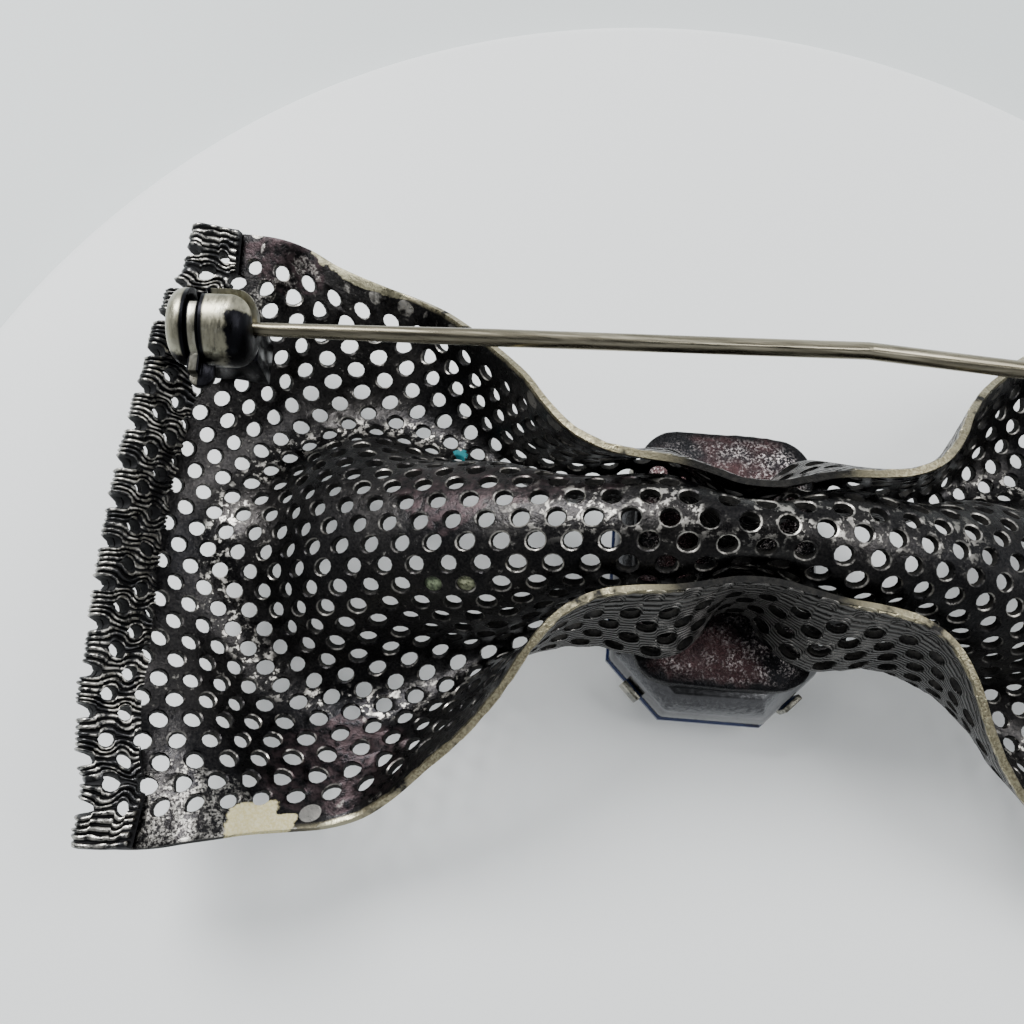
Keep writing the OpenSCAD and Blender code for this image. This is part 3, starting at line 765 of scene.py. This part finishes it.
even_dx, odd_dx = from_column(tree, x, 0.0), from_column(tree, x, 1.0)
row = math_of(tree, "ROUND", divided(tree, y, ROW))
is_odd = math_of(tree, "PINGPONG", row, 1.0)
dx = divided(tree, between(tree, is_odd, even_dx, odd_dx), HOLE[0])
dy = divided(tree, minus(tree, y, product(tree, row, ROW)), HOLE[1])
tree.links.new(away_from(tree, dx, dy), put.inputs["Reach"])
print("nodes for the reach:", len(tree.nodes))

# %% Group, second part: the ribs between the rows
lower = math_of(tree, "FLOOR", divided(tree, y, ROW))
low_odd = math_of(tree, "PINGPONG", lower, 1.0)
even_slot, odd_slot = slot_of(tree, even_dx), slot_of(tree, odd_dx)
# No holes lie past the last rows, so the ribs run straight there
low_slot = product(tree, between(tree, low_odd, even_slot, odd_slot),
                   math_of(tree, "GREATER_THAN", y, -LAST_ROW * ROW))
high_slot = product(tree, between(tree, low_odd, odd_slot, even_slot),
                    math_of(tree, "LESS_THAN", y, LAST_ROW * ROW))
room = minus(tree, ROW, total(tree, low_slot, high_slot))
up = minus(tree, minus(tree, y, product(tree, lower, ROW)), low_slot)
turns = product(tree, divided(tree, up, room), RIBS_IN_ROW * math.pi)
tree.links.new(unsigned(tree, math_of(tree, "SINE", turns)), put.inputs["Rib"])
print("group hole_edge:", len(tree.nodes), "nodes")

# %% Group: one ragged spot
# Power 2 gives an oval and a higher one a rounded block. The noise shakes its outline.
tree, get, put = group("spot", {"Flat": ("v", None), "X": ("f", 0), "Y": ("f", 0), "Long": ("f", 1),
                                "Wide": ("f", 1), "Power": ("f", 2), "Ragged": ("f", 0.3),
                                "Noise": ("f", 0.5)}, {"Mask": ("f", 0)})
xyz = place(tree, "ShaderNodeSeparateXYZ", {0: get.outputs["Flat"]})
share = []
for axis, middle_of, size_of in ((0, "X", "Long"), (1, "Y", "Wide")):
    away = minus(tree, xyz.outputs[axis], get.outputs[middle_of])
    away = unsigned(tree, divided(tree, away, get.outputs[size_of]))
    share.append(math_of(tree, "POWER", away, get.outputs["Power"]))
round_ = math_of(tree, "POWER", total(tree, *share), divided(tree, 1.0, get.outputs["Power"]))
shake = product(tree, minus(tree, get.outputs["Noise"], 0.5), get.outputs["Ragged"])
tree.links.new(range_of(tree, total(tree, round_, shake), 1.06, 0.94), put.inputs["Mask"])
print("group spot:", len(tree.nodes), "nodes")

# %% [markdown]
# ## The finish of the bow
# The sheet is plated nearly black. The plating has worn through to pale metal round the crease at
# the end of the ridge, on the rims of the holes along the ridge, and on the two long rims, and
# one corner is bare. Such wear could be painted by hand. Here each worn place is a mask, made of
# where it is times noises of different sizes, so that it breaks up into flakes.

# %% Places of the marks on the flat sheet
# In millimetres: x from the left fold and y from the middle, half its length, half its width,
# and how square it is.
RING_CENTRE, RING_LONG, RING_WIDE = (22.0, -1.0), 14.4, 11.4
BARE_PATCH = [(9.6, -17.75, 1.45, 0.92, 8), (10.5, -18.2, 1.75, 0.5, 6)]
OLIVE_RIM = [(12.2, 18.8, 3.3, 0.75, 3), (14.6, -18.6, 1.3, 0.2, 3)]
VERDIGRIS = [(22.0, 10.0, 0.38, 0.45, 2)]
COPPER = [(6.2, 12.1, 0.3, 0.5, 2)]
PURPLE = [(6.6, 17.2, 2.8, 1.5, 2), (26, 2.6, 8, 2.2, 2), (14.5, -15.5, 3.5, 2.0, 2)]
# The sparkle spots are painted highlight: pale specks where the light glints.
PAINTED_SPARKLE = [(5.2, -17.2, 3.2, 2.6, 2), (7.6, 17.3, 0.8, 0.7, 2), (6.6, 16.2, 0.9, 0.8, 2),
           (5.0, 14.8, 0.9, 1.1, 2), (4.2, 13.2, 0.6, 0.9, 2)]


def spots(tree, flat, noise_out, places, ragged):
    """The highest of several ragged spots."""
    return highest(tree, *[
        use(tree, "spot", {"Flat": flat, "X": x, "Y": y, "Long": long_, "Wide": wide,
                           "Power": power, "Ragged": ragged, "Noise": noise_out}).outputs[0]
        for x, y, long_, wide, power in places])


print("marks:", sum(len(places) for places in (BARE_PATCH, OLIVE_RIM, VERDIGRIS, COPPER, PURPLE, PAINTED_SPARKLE)))

# %% What every face of the sheet reads
NOISES = {"broad": (130, 3), "middle": (520, 4, 0.6), "fine": (1900, 4, 0.65), "grain": (6500, 3, 0.6)}


def sheet_place(tree, where):
    """Flat place, distance from the nearer fold, distance from the middle, and the noises."""
    uv = place(tree, "ShaderNodeUVMap", uv_map="flat").outputs[0]
    flat = place(tree, "ShaderNodeVectorMath", {0: uv, 3: 10.0}, operation="SCALE").outputs[0]
    xyz = place(tree, "ShaderNodeSeparateXYZ", {0: flat})
    side = math_of(tree, "MINIMUM", xyz.outputs[0], minus(tree, LENGTH, xyz.outputs[0]))
    noises = {name: noise_of(tree, where, *values) for name, values in NOISES.items()}
    return flat, side, xyz.outputs[1], noises

# %% Worn places of the back
def wear_and_painted_sparkle(tree, flat, side, y, noises):
    """Where pale metal shows: crease, ridge, hole rims and scratches; and specks of painted highlight that
    sparkle.
    """
    broad, middle, fine, grain = noises.values()
    dx = divided(tree, minus(tree, side, RING_CENTRE[0]), RING_LONG)
    dy = divided(tree, minus(tree, y, RING_CENTRE[1]), RING_WIDE)
    off = unsigned(tree, minus(tree, away_from(tree, dx, dy), 1.0))
    crease = product(tree, range_of(tree, off, 0.12, 0.02), range_of(tree, side, 27, 20),
                     range_of(tree, middle, 0.38, 0.52))
    band = range_of(tree, unsigned(tree, minus(tree, y, 0.9)), 2.6, 0.6)
    band = product(tree, band, range_of(tree, side, 25, 34), range_of(tree, middle, 0.40, 0.56), 0.6)
    reach = use(tree, "hole_edge", {"Flat": flat}).outputs["Reach"]
    thin_ring = range_of(tree, reach, 1.17, 1.05)
    ridge = product(tree, range_of(tree, unsigned(tree, y), 7.0, 3.0), range_of(tree, side, 16, 30))
    ring = product(tree, thin_ring, ridge, range_of(tree, middle, 0.42, 0.58),
                   range_of(tree, fine, 0.36, 0.56), 0.8)
    lip = product(tree, thin_ring, range_of(tree, middle, 0.50, 0.60), 0.4)
    # Painted highlight: pale sparkle specks in the sparkle spots.
    painted_sparkle_specks = product(tree, spots(tree, flat, middle, PAINTED_SPARKLE, 3.0),
                      range_of(tree, fine, 0.42, 0.56), range_of(tree, grain, 0.40, 0.62), 0.32)
    scratch = product(tree, range_of(tree, fine, 0.62, 0.70), range_of(tree, broad, 0.45, 0.6), 0.3)
    flakes = range_of(tree, fine, 0.525, 0.60)
    return highest(tree, product(tree, highest(tree, crease, band), flakes),
                   ring, lip, painted_sparkle_specks, scratch)

# %% Black plating and marks
BLACK, GREY, PURPLE_BROWN = (0.010, 0.010, 0.011), (0.036, 0.034, 0.033), (0.048, 0.034, 0.036)
PALE, GOLD, DARK_GOLD = (0.72, 0.69, 0.63), (0.46, 0.42, 0.28), (0.22, 0.19, 0.12)


def plating(tree, flat, noises):
    """Mottled black with purple-brown tints."""
    mottle = scaled(tree, noises["grain"], 0.5, product(tree, noises["broad"], 0.6))
    colour = mix_of(tree, range_of(tree, mottle, 0.40, 0.72), BLACK, GREY)
    tint = product(tree, spots(tree, flat, noises["broad"], PURPLE, 4.0),
                   range_of(tree, noises["fine"], 0.35, 0.65, 0.0, 0.8))
    return mix_of(tree, tint, colour, PURPLE_BROWN)


def marked(tree, flat, noises, streaks, colour):
    """The colour with the bare, olive, coppery and green marks on it, and where it is dull."""
    middle, fine = noises["middle"], noises["fine"]
    bare = spots(tree, flat, fine, BARE_PATCH, 0.5)
    colour = mix_of(tree, bare, colour, (0.50, 0.44, 0.22))
    colour = mix_of(tree, product(tree, bare, streaks, 0.7), colour, (0.62, 0.58, 0.40))
    olive = spots(tree, flat, middle, OLIVE_RIM, 2.0)
    colour = mix_of(tree, olive, colour, (0.30, 0.28, 0.19))
    coppery = spots(tree, flat, fine, COPPER, 3.0)
    colour = mix_of(tree, coppery, colour, (0.30, 0.12, 0.07))
    green = spots(tree, flat, fine, VERDIGRIS, 3.0)
    colour = mix_of(tree, green, colour, (0.02, 0.22, 0.25))
    return colour, highest(tree, bare, green)

# %% [markdown]
# The three kinds of face differ. The back is smooth and worn. The front is ribbed, and none of
# the marks of the back goes through to it; its grooves are painted near black as shade. The cut
# edges, the walls of the holes among them, are dull and painted near black as shade, but for the
# two long rims, which are bare from the wings to the waist. One function makes all three, because
# the rims' bare metal has to meet without a seam.

# %% The three faces of the sheet
# Near black for painted shade: the grooves of the front's ribs and the walls of the holes are coloured
# this dark for the shade in them.
SHADE_BLACK, CREST, CUT = (0.002, 0.002, 0.002), (0.085, 0.082, 0.078), (0.014, 0.013, 0.011)


def bow_finish(name, kind):
    made, tree, bsdf, where = material(name)
    flat, side, y, noises = sheet_place(tree, where)
    middle, fine, grain = noises["middle"], noises["fine"], noises["grain"]
    rim = product(tree, range_of(tree, unsigned(tree, y), HALF_WIDTH - 0.35, HALF_WIDTH - 0.08),
                  range_of(tree, side, 11, 18), range_of(tree, side, 37, 32),
                  range_of(tree, middle, 0.36, 0.52))
    if kind == "front":
        rib = use(tree, "hole_edge", {"Flat": flat}).outputs["Rib"]
        # Painted shade: the grooves between the ribs are near black, the crests lighter.
        colour = mix_of(tree, range_of(tree, rib, 0.1, 0.9), SHADE_BLACK, CREST)
        height = scaled(tree, rib, 3.0, fine)
    elif kind == "cut_edges":
        # Painted shade: the cut edges, the walls of the holes, are near black for the shade in them.
        colour = mix_of(tree, range_of(tree, fine, 0.35, 0.65), SHADE_BLACK, CUT)
        height = grain
    else:
        # The worn mask also holds the painted highlight specks.
        worn = wear_and_painted_sparkle(tree, flat, side, y, noises)
        colour = mix_of(tree, worn, plating(tree, flat, noises), PALE)
        height = scaled(tree, fine, 0.7, product(tree, middle, 0.4))
        height = scaled(tree, grain, 0.12, height)
    streaks = range_of(tree, grain, 0.35, 0.65)
    colour = mix_of(tree, rim, colour, GOLD)
    colour = mix_of(tree, product(tree, rim, minus(tree, 1.0, streaks)), colour, DARK_GOLD)
    rough, metal = range_of(tree, fine, 0.3, 0.7, 0.24, 0.44), 1.0
    if kind != "front":
        colour, dull = marked(tree, flat, noises, streaks, colour)
        metal = scaled(tree, dull, -0.8, 1.0)
        if kind == "cut_edges":
            metal = product(tree, rim, metal)
            rough = scaled(tree, rim, -0.4, 0.75)
        rough = scaled(tree, dull, 0.3, rough)
    bsdf.inputs["Specular IOR Level"].default_value = 0.25
    surface(tree, bsdf, colour, rough, height, 0.9, 0.08, metal)
    return made


for slot_number, kind in enumerate(("back", "front", "cut_edges")):
    sheet.data.materials[slot_number] = bow_finish("bow_" + kind, kind)
counts = [0, 0, 0]
for face in sheet.data.polygons:
    counts[face.material_index] += 1
print("faces of the back, the front and the cut edges:", counts)

# %% [markdown]
# On the hems each rib is a real ridge, so its finish follows the relief that was kept with the
# mesh: the grooves are painted dull black as shade, the crests are black metal, and flecks of pale
# metal show where the crests are rubbed.

# %% Finish of the hems
cords, tree, bsdf, where = material("hem_cords")
relief = place(tree, "ShaderNodeAttribute", attribute_name="relief").outputs["Fac"]
middle = noise_of(tree, where, 800, 4, 0.6)
fine = noise_of(tree, where, 2600, 3, 0.6)
worn = product(tree, range_of(tree, relief, 0.6, 0.95), range_of(tree, middle, 0.42, 0.56),
               range_of(tree, fine, 0.38, 0.54))
# Painted shade: the grooves are coloured near black, the crests lighter.
colour = mix_of(tree, range_of(tree, relief, 0.2, 0.9), (0.003, 0.003, 0.004), (0.046, 0.046, 0.047))
surface(tree, bsdf, mix_of(tree, worn, colour, (0.55, 0.53, 0.48)),
        range_of(tree, relief, 0.1, 0.6, 0.8, 0.28), fine, 0.7, 0.07,
        range_of(tree, relief, 0.15, 0.5))
for obj in hems:
    obj.data.materials.append(cords)
print("hem finish:", len(tree.nodes), "nodes")

# %% [markdown]
# Two neighbouring holes on the slope below the ridge are clogged with green dirt. Each plug is a
# round fan of faces, laid into its hole on the flat sheet, dished a little towards the middle,
# and bent with the sheet.

# %% Two clogged holes
PLUG_ROW, PLUG_DISH, PLUG_THICK = -3, 0.12, 0.16
PLUGS = {23: ((0.05, 0.065, 0.035), (0.22, 0.27, 0.16)), 25: ((0.06, 0.065, 0.03), (0.30, 0.32, 0.20))}


def plug(column, dark, pale):
    bpy.ops.object.select_all(action="DESELECT")
    bpy.ops.mesh.primitive_circle_add(vertices=20, radius=1, fill_type="TRIFAN")
    obj = bpy.context.object
    obj.name = "green_dirt_%d" % column
    rim = points_of(obj)[:, :2]
    flat = [column, PLUG_ROW * ROW] + rim * HOLE * 1.04
    set_points(obj, formed(flat, PLUG_DISH * ((rim ** 2).sum(1) - 1)) * MM)
    finished(obj, "SOLIDIFY", thickness=PLUG_THICK * MM, offset=0)
    made, tree, bsdf, where = material(obj.name)
    crumbs = noise_of(tree, where, 3200, 4, 0.7)
    surface(tree, bsdf, mix_of(tree, range_of(tree, crumbs, 0.4, 0.62), dark, pale),
            range_of(tree, crumbs, 0.3, 0.7, 0.5, 0.8), crumbs, 0.8, 0.12, 0.0)
    obj.data.materials.append(made)
    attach(obj, "brooch")
    return obj


plugs = [plug(column, *colours) for column, colours in PLUGS.items()]
print("plugs:", [obj.name for obj in plugs])

# %% [markdown]
# ## The finishes of the setting and the stone
# The cast plate was never polished: its skin is sandy, purple brown on the dome and nearly black
# on the slopes. Its sparkle is painted highlight: pale specks of a fine noise cut off high, which a
# mask keeps to the right side, where the light falls, and to the edge of the dome.

# %% Cast plate
def cast_finish(name):
    made, tree, bsdf, where = material(name)
    broad = noise_of(tree, where, 260, 3)
    middle = noise_of(tree, where, 900, 5, 0.7)
    fine = noise_of(tree, where, 6500, 3, 0.7)
    milli = place(tree, "ShaderNodeVectorMath", {0: where, 3: 1 / MM}, operation="SCALE").outputs[0]
    dome, crown = (use(tree, "spot", {
        "Flat": milli, "X": 0, "Y": PLATE_Y, "Long": PLATE_WIDE / 2 - inside,
        "Wide": PLATE_LONG / 2 - inside, "Power": 5, "Ragged": 0.25,
        "Noise": middle}).outputs[0] for inside in (0.55, 1.5))
    colour = mix_of(tree, range_of(tree, broad, 0.40, 0.60), (0.022, 0.022, 0.024),
                    (0.062, 0.036, 0.037))
    colour = mix_of(tree, dome, (0.013, 0.013, 0.014), colour)
    xyz = place(tree, "ShaderNodeSeparateXYZ", {0: where})
    # Painted highlight: the pale glints lie on the right side, where the light falls, and on a ring at the
    # edge of the dome, where it catches the light.
    right_side = range_of(tree, scaled(tree, middle, 3 * MM, xyz.outputs[0]), -1 * MM, 5 * MM)
    edge = product(tree, dome, minus(tree, 1.0, crown), 0.35)
    share = scaled(tree, right_side, 0.55, total(tree, edge, 0.08))
    painted_glint = product(tree, range_of(tree, fine, 0.50, 0.60), range_of(tree, middle, 0.40, 0.58),
                    share, dome)
    surface(tree, bsdf, mix_of(tree, painted_glint, colour, (0.88, 0.80, 0.78)),
            range_of(tree, fine, 0.3, 0.7, 0.20, 0.40), scaled(tree, fine, 0.5, middle),
            0.9, 0.13, 1.0)
    return made


plate.data.materials.append(cast_finish("cast_setting"))
print("cast finish:", len(plate.data.materials[0].node_tree.nodes), "nodes")

# %% Plain metals: cup and claws
def plain_metal(name, dark, pale, low, high, rough, scale=500, stretch=(1, 1, 1)):
    """Worn metal between two colours, brushed along the axis where stretch is small."""
    made, tree, bsdf, where = material(name)
    drawn = place(tree, "ShaderNodeMapping", {0: where, 3: stretch}).outputs[0]
    broad = noise_of(tree, drawn, scale, 4, 0.6)
    fine = noise_of(tree, drawn, 4000, 4, 0.6)
    shade = scaled(tree, fine, 0.4, product(tree, broad, 0.6))
    surface(tree, bsdf, mix_of(tree, range_of(tree, shade, low, high), dark, pale),
            range_of(tree, fine, 0.3, 0.7, *rough), fine, 0.5, 0.03, 1.0)
    return made


cup.data.materials.append(plain_metal("grey_cup", (0.09, 0.09, 0.095), (0.19, 0.19, 0.195),
                                      0.25, 0.75, (0.14, 0.26), 160))
claw_metal = plain_metal("claw_metal", (0.16, 0.155, 0.13), (0.52, 0.50, 0.42), 0.4, 0.6, (0.25, 0.4))
for obj in claws:
    obj.data.materials.append(claw_metal)
setting = joined("cast_claw_setting", [plate, cup, *claws])
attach(setting, "brooch")
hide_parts("stone_setting")
print("setting:", len(setting.data.polygons), "faces")

# %% Blue stone
glass, tree, bsdf, where = material("blue_stone")
tone = range_of(tree, noise_of(tree, where, 90, 2), 0.3, 0.7)
linked(tree, mix_of(tree, tone, (0.002, 0.006, 0.055), (0.004, 0.014, 0.11)), bsdf.inputs["Base Color"])
bsdf.inputs["Roughness"].default_value = 0.03
bsdf.inputs["IOR"].default_value = 1.62
bsdf.inputs["Transmission Weight"].default_value = 0.8
stone.data.materials.append(glass)
print("stone finish:", len(tree.nodes), "nodes")

# %% [markdown]
# ## The fittings
# The CAD's own catch, hinge and stem are exact but faceted, and every edge is sharp. A copy of
# each is merged, its edges are beveled a little, and it is shaded smooth.

# %% Softened copies
def softened(node, body, bevel):
    """A merged, beveled and smooth copy of a CAD piece, which stands in for it."""
    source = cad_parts[node]
    obj = source.copy()
    obj.data = source.data.copy()
    obj.name = node + "_soft"
    bpy.context.collection.objects.link(obj)
    obj.data.materials.clear()
    edit(obj, "VERT", "SELECT")
    bpy.ops.mesh.remove_doubles(threshold=0.002 * MM)
    bpy.ops.mesh.dissolve_limited(angle_limit=math.radians(1))
    done()
    if bevel:
        finished(obj, "BEVEL", width=bevel * MM, segments=2, limit_method="ANGLE",
                 angle_limit=math.radians(40))
    only(obj)
    bpy.ops.object.shade_smooth_by_angle(angle=math.radians(45))
    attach(obj, body)
    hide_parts(node)
    return obj


housing = softened("catch_housing", "brooch", 0.05)
rotor = softened("catch_rotor", "catch", 0.05)
bracket = softened("hinge_bracket", "brooch", 0.06)
rivet = softened("hinge_rivet", "brooch", 0.06)
stem = softened("pin_stem", "pin", 0)
print("softened:", [len(obj.data.polygons) for obj in (housing, rotor, bracket, rivet, stem)], "faces")

# %% [markdown]
# The wire is bent once on its way to the hinge, and the CAD model has a ball there that stands a
# little proud of it. Each point near the bend is set at the wire's own radius from the nearer of
# the two straight runs, which takes the collar away.

# %% The bend of the wire
PIN_LINE = Vector((0.99863, 0.05234, 0))
BEND, EYE = Vector((6.951, 12.302, 11.768)), Vector((30.52, 11.57, 11.17))
WIRE_RADIUS, NEAR_BEND = 0.52, 0.8
places = points_of(stem)
moved = 0
for point in places:
    near = Vector(point) / MM - BEND
    if near.length < NEAR_BEND:
        way = (EYE - BEND).normalized() if near.x > 0 else -PIN_LINE
        axis = BEND + way * max(0, near.dot(way))
        point[:] = (axis + (Vector(point) / MM - axis).normalized() * WIRE_RADIUS) * MM
        moved += 1
set_points(stem, places)
print("points set at the bend:", moved)

# %% [markdown]
# The catch is turned from one rod and is worn to pale metal where the thumb goes. Its black
# places are painted shade: on the end face by the slot, round its mouth, on the low side and
# underneath, and on the face of the turning tab. They are set by the distance along the pin's own
# line from the middle of the slot, because a noise alone would put them anywhere.

# %% Finish of the catch
CATCH = Vector((-31.92, 10.26, 11.77))


def catch_finish(name, turning):
    """Worn metal with painted shade, of the housing or of the piece that turns in its slot."""
    made, tree, bsdf, where = material(name)
    dot = place(tree, "ShaderNodeVectorMath", {0: where, 1: PIN_LINE / MM}, operation="DOT_PRODUCT")
    along = minus(tree, dot.outputs["Value"], CATCH.dot(PIN_LINE))
    xyz = place(tree, "ShaderNodeSeparateXYZ", {0: where})
    over = scaled(tree, xyz.outputs[1], 1 / MM, -CATCH.y)
    brushed = place(tree, "ShaderNodeMapping", {0: where, 3: (1, 0.3, 0.3)}).outputs[0]
    middle = noise_of(tree, where, 900, 4, 0.6)
    fine = noise_of(tree, brushed, 4500, 4, 0.65)
    shake = scaled(tree, middle, 1.6, -0.8)
    off = unsigned(tree, along)
    if turning:
        # Painted shade: the turning piece is black where its tab faces away from the light.
        painted_shade = highest(tree, range_of(tree, off, 0.17, 0.23), range_of(tree, over, 0.7, 1.0),
                        product(tree, range_of(tree, over, -1.9, -2.1), 0.75))
        pale, dark = (0.62, 0.60, 0.52), (0.30, 0.28, 0.22)
    else:
        # Painted shade: black on the end face by the slot, round its mouth, at the far left, on the low
        # side and underneath.
        corner_x = range_of(tree, total(tree, along, shake), 1.75, 2.1)
        corner_y = range_of(tree, total(tree, over, shake), 0.45, 0.1)
        mouth_edge = range_of(tree, off, 0.72, 0.58)
        far_left = range_of(tree, total(tree, along, shake), -1.5, -1.75)
        low = range_of(tree, total(tree, over, shake), -1.8, -2.2)
        painted_shade = highest(tree, product(tree, corner_x, corner_y), mouth_edge, low,
                        product(tree, far_left, 0.7))
        pale, dark = (0.36, 0.335, 0.23), (0.13, 0.12, 0.08)
        height = scaled(tree, xyz.outputs[2], 1 / MM, -CATCH.z)
        painted_shade = highest(tree, painted_shade, range_of(tree, height, -1.0, -1.4))
    colour = mix_of(tree, range_of(tree, fine, 0.38, 0.60), dark, pale)
    colour = mix_of(tree, range_of(tree, middle, 0.60, 0.50, 0.0, 0.45), (0.36, 0.345, 0.27), colour)
    colour = mix_of(tree, painted_shade, colour, (0.010, 0.010, 0.012))
    surface(tree, bsdf, colour, range_of(tree, fine, 0.3, 0.7, 0.26, 0.42), fine, 0.6, 0.04, 1.0)
    return made


housing.data.materials.append(catch_finish("worn_catch", False))
rotor.data.materials.append(catch_finish("worn_catch_turning_piece", True))
hinge_metal = plain_metal("worn_hinge", (0.05, 0.048, 0.040), (0.34, 0.32, 0.25), 0.42, 0.58,
                          (0.26, 0.45), 330)
for obj in (bracket, rivet):
    obj.data.materials.append(hinge_metal)
stem.data.materials.append(plain_metal("stem_wire", (0.20, 0.18, 0.13), (0.48, 0.44, 0.33), 0.40, 0.60,
                                       (0.22, 0.36), 700, (0.06, 1, 1)))
print("stem finish:", len(stem.data.materials[0].node_tree.nodes), "nodes")

# %% [markdown]
# ## Floor and light
# The photograph is taken on a white disc in soft daylight from the upper left, so the shadows
# are faint and fall to the lower right. A large area light gives that, and a pale world fills.
# The floor and the disc also glow faintly: painted light that lightens the shadow under the bow.

#
# The disc's top has to be exactly at z = 0, in the plane of the stone's table, because glass that
# touches white looks brighter than glass just above it. So its place is made of plain numbers: a
# Vector is rounded to single precision, and that is enough to part the two.

# %% Floor and disc
DISC_RADIUS, DISC_HIGH, DISC_X, DISC_Y = 55.3, 2.5, -0.76, -9.26
bpy.ops.object.select_all(action="DESELECT")
bpy.ops.mesh.primitive_plane_add(size=1.6, location=(0, 0, -DISC_HIGH * MM))
floor = bpy.context.object
floor.name = "floor"
bpy.ops.mesh.primitive_cylinder_add(vertices=256, radius=DISC_RADIUS * MM, depth=DISC_HIGH * MM,
                                    location=(DISC_X * MM, DISC_Y * MM, -DISC_HIGH / 2 * MM))
disc = bpy.context.object
disc.name = "white_disc"
finished(disc, "BEVEL", width=0.9 * MM, segments=4, limit_method="ANGLE")
bpy.ops.object.shade_smooth_by_angle(angle=math.radians(40))
# The glow of the floor and the disc is painted light, which lightens the shadow under the bow.
for obj, name, shade, painted_glow in ((floor, "pale_floor", (0.60, 0.64, 0.635), 0.12),
                               (disc, "white_plastic", (0.77, 0.79, 0.785), 0.18)):
    paper, tree, bsdf, where = material(name)
    bsdf.inputs["Base Color"].default_value = (*shade, 1)
    bsdf.inputs["Roughness"].default_value = 0.5
    bsdf.inputs["Emission Color"].default_value = (0.97, 1.0, 1.0, 1)
    bsdf.inputs["Emission Strength"].default_value = painted_glow
    obj.data.materials.append(paper)
print("disc:", len(disc.data.polygons), "faces")

# %% Light
def soft_light(name, place_mm, size_mm, power):
    """A round area light that looks at the bow."""
    data = bpy.data.lights.new(name, "AREA")
    data.shape = "DISK"
    data.size = size_mm * MM
    data.energy = power
    obj = bpy.data.objects.new(name, data)
    bpy.context.collection.objects.link(obj)
    obj.location = Vector(place_mm) * MM
    obj.rotation_euler = (Vector((-5, 0, 6)) * MM - obj.location).to_track_quat("-Z", "Y").to_euler()


soft_light("window", (-260, 260, 380), 240, 3.6)
soft_light("room", (260, 60, 320), 260, 0.9)
print("lights:", [light.name for light in bpy.data.lights])

# %% [markdown]
# A room isn't evenly bright. The world is paler behind the bow than in front of it, and dark
# where the camera and its holder are, which is what gives the wire and the ridge a dark core.

# %% The room
world = bpy.data.worlds.new("room")
world.use_nodes = True
tree = world.node_tree
background = tree.nodes["Background"]
background.inputs[0].default_value = (0.93, 0.96, 1.0, 1)
way = place(tree, "ShaderNodeTexCoord").outputs["Generated"]
xyz = place(tree, "ShaderNodeSeparateXYZ", {0: way})
fall = range_of(tree, xyz.outputs[1], -0.8, 0.5, 0.45, 1.0)
facing = place(tree, "ShaderNodeVectorMath", {0: way, 1: back}, operation="DOT_PRODUCT").outputs["Value"]
holder = range_of(tree, facing, 0.86, 0.96, 1.0, 0.15)
tree.links.new(product(tree, product(tree, fall, holder), 0.95),
               background.inputs["Strength"])
bpy.context.scene.world = world
bpy.context.scene.view_settings.view_transform = "AgX"
print("world:", len(tree.nodes), "nodes")
